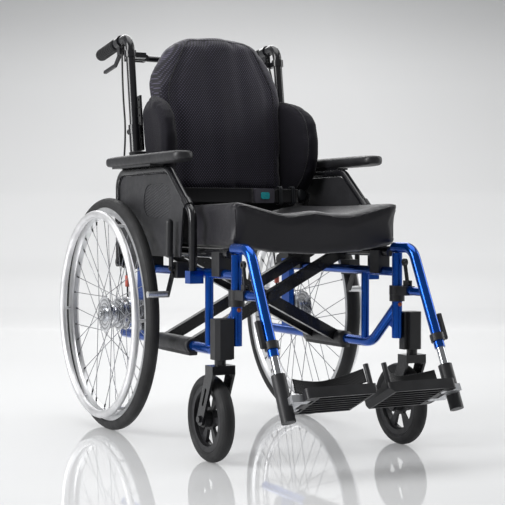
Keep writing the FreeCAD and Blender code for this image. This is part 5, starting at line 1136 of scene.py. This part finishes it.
def cable_boot(side, sign):
    """A rubber sleeve and a red end cap on the cable above the brake drum."""
    x = sign * CABLE_HALF
    for name, low, high, radius, material in (
        ("cable_sleeve", 0.402, 0.432, 0.0048, CABLE),
        ("cable_end_cap", 0.374, 0.404, 0.0068, CABLE_END),
    ):
        path = [Vector((x, AXLE_Y + 0.022, z)) for z in np.linspace(high, low, 6)]
        item = tube(f"{name}_{side}", path, radius, material, 14)
        carried([item], f"frame_{side}")


def boot_radius(along):
    """The boot is a little thinner at both ends."""
    return 0.0196 - 0.0012 * abs(2 * along - 1) ** 8


def brace_boot(name, x, body):
    """The long moulded boot that a cross brace turns in on the lower tube, with a flat sole."""
    made = []
    path = [Vector((x, AXLE_Y + y, LOWER_TUBE_Z)) for y in np.linspace(-0.369, -0.175, 12)]
    made.append(tube(f"{name}_boot", path, boot_radius, BLACK_PLASTIC, 36))
    rings = []
    for y in np.linspace(-0.366, -0.178, 20):
        half = 0.0125 if abs(y + 0.272) < 0.090 else 0.0115
        section = box_section(half, 0.2245, 0.250, 0.003, 0.02)
        rings.append([Vector((x + a, AXLE_Y + y, z)) for a, z in section])
    made.append(loft(f"{name}_sole", rings, BLACK_PLASTIC))
    carried(made, body)


seat_parts = seat_cushion()
back_parts = back_cushion()
belt_parts = pelvic_belt()
sling_parts = seat_sling()
strap_parts = back_straps()
brace_boot("brace_a", -FRAME_HALF, "brace_a")
brace_boot("brace_b", FRAME_HALF, "brace_b")
for side, sign in SIDES:
    armrest_pad(side, sign)
    heel_strap(side, sign)
    brake_cable(side, sign)
    cable_boot(side, sign)
    post_plug(side, sign)
    spoke_nipples(side)

# The soft pieces get meshes of their own
for item in [*seat_parts, *back_parts, *belt_parts, *sling_parts, *strap_parts]:
    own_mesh(item)


# Stage: pale glossy floor and backdrop, soft lamps and the photograph's camera
def floor_gloss():
    s = Shader("floor_gloss", (0.66, 0.665, 0.67), 0.03, specular=1.0)
    s.set("IOR", 2.1)
    s.vary_roughness(s.noise(3, 3), 0.015)
    # Camera and mirror rays see the stage brighter than the lamps make it
    x, _, z = s.axes()
    path = s.nodes.new("ShaderNodeLightPath").outputs
    seen = s.math("MAXIMUM", path["Is Camera Ray"], path["Is Glossy Ray"])
    seen = s.math("MAXIMUM", seen, path["Is Transmission Ray"])
    stops = [(0.0, 0.12), (1.0, 0.20), (0.036, 0.29), (0.09, 0.39), (0.16, 0.44), (0.30, 0.432)]
    stops += [(0.45, 0.442), (0.68, 0.44), (0.76, 0.41), (0.83, 0.357), (0.90, 0.29)]
    upward = s.ramp(s.math("DIVIDE", z, 2.2), stops)
    across = s.math("ABSOLUTE", x)
    side = s.times(s.remap(across, 0.3, 2.0, 1.04, 0.96), s.remap(x, -2.0, 2.0, 1.02, 0.97))
    corner = s.remap(s.times(across, z), 1.0, 4.0, 1.0, 0.6)
    glow = s.times(upward, s.times(side, corner))
    emission = s.nodes.new("ShaderNodeEmission")
    s.links.new(s.times(glow, seen), emission.inputs["Strength"])
    add = s.nodes.new("ShaderNodeAddShader")
    s.links.new(s.shader.outputs[0], add.inputs[0])
    s.links.new(emission.outputs[0], add.inputs[1])
    s.links.new(add.outputs[0], s.nodes["Material Output"].inputs["Surface"])
    return s.material


def studio():
    depth, start, radius, top = 9.0, 3.2, 3.0, 7.0
    profile = [(-depth, 0.0), (start, 0.0)]
    turns = np.linspace(0.1, math.pi / 2, 14)
    profile += [(start + radius * math.sin(a), radius - radius * math.cos(a)) for a in turns]
    profile.append((start + radius, top))
    verts, faces = [], []
    for y, z in profile:
        verts += [(-12, y, z), (12, y, z)]
    for k in range(len(profile) - 1):
        a = 2 * k
        faces.append((a, a + 1, a + 3, a + 2))
    floor = piece("floor", verts, faces, floor_gloss())
    floor.rotation_euler = (0, 0, math.radians(-27.9))
    floor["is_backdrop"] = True

    world = bpy.data.worlds.new("studio")
    bpy.context.scene.world = world
    world.use_nodes = True
    background = world.node_tree.nodes["Background"]
    background.inputs["Color"].default_value = (0.78, 0.79, 0.8, 1)
    background.inputs["Strength"].default_value = 0.35

    def lamp(name, place, target, size, power):
        data = bpy.data.lights.new(name, "AREA")
        data.shape = "RECTANGLE"
        data.size, data.size_y = size
        data.energy = power
        item = linked(name, data)
        item.location = place
        item.rotation_euler = (Vector(target) - Vector(place)).to_track_quat("-Z", "Y").to_euler()

    lamp("key", (-3.4, 0.3, 1.9), (0, 0, 0.5), (1.6, 2.4), 124)
    lamp("top", (0.2, 0.2, 3.4), (0, 0, 0.4), (3.0, 3.0), 66)
    lamp("right", (2.8, -0.6, 1.6), (0, 0, 0.5), (1.0, 2.2), 26)
    lamp("back", (1.0, 3.0, 2.6), (0, 0, 0.6), (3.0, 1.2), 40)

    data = bpy.data.cameras.new("camera")
    data.sensor_width = 36
    data.lens = 91.73
    data.clip_end = 60
    camera = linked("camera", data)
    camera.location = (-1.541586, AXLE_Y - 3.174893, 0.54749)
    forward = Vector((0.46754552, 0.88364566, -0.02390685))
    camera.rotation_euler = forward.to_track_quat("-Z", "Y").to_euler()
    bpy.context.scene.camera = camera
    bpy.context.scene.view_settings.view_transform = "Standard"


studio()

shown_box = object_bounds()
[[list(corner) for corner in box] for box in (cad_box, shown_box)]
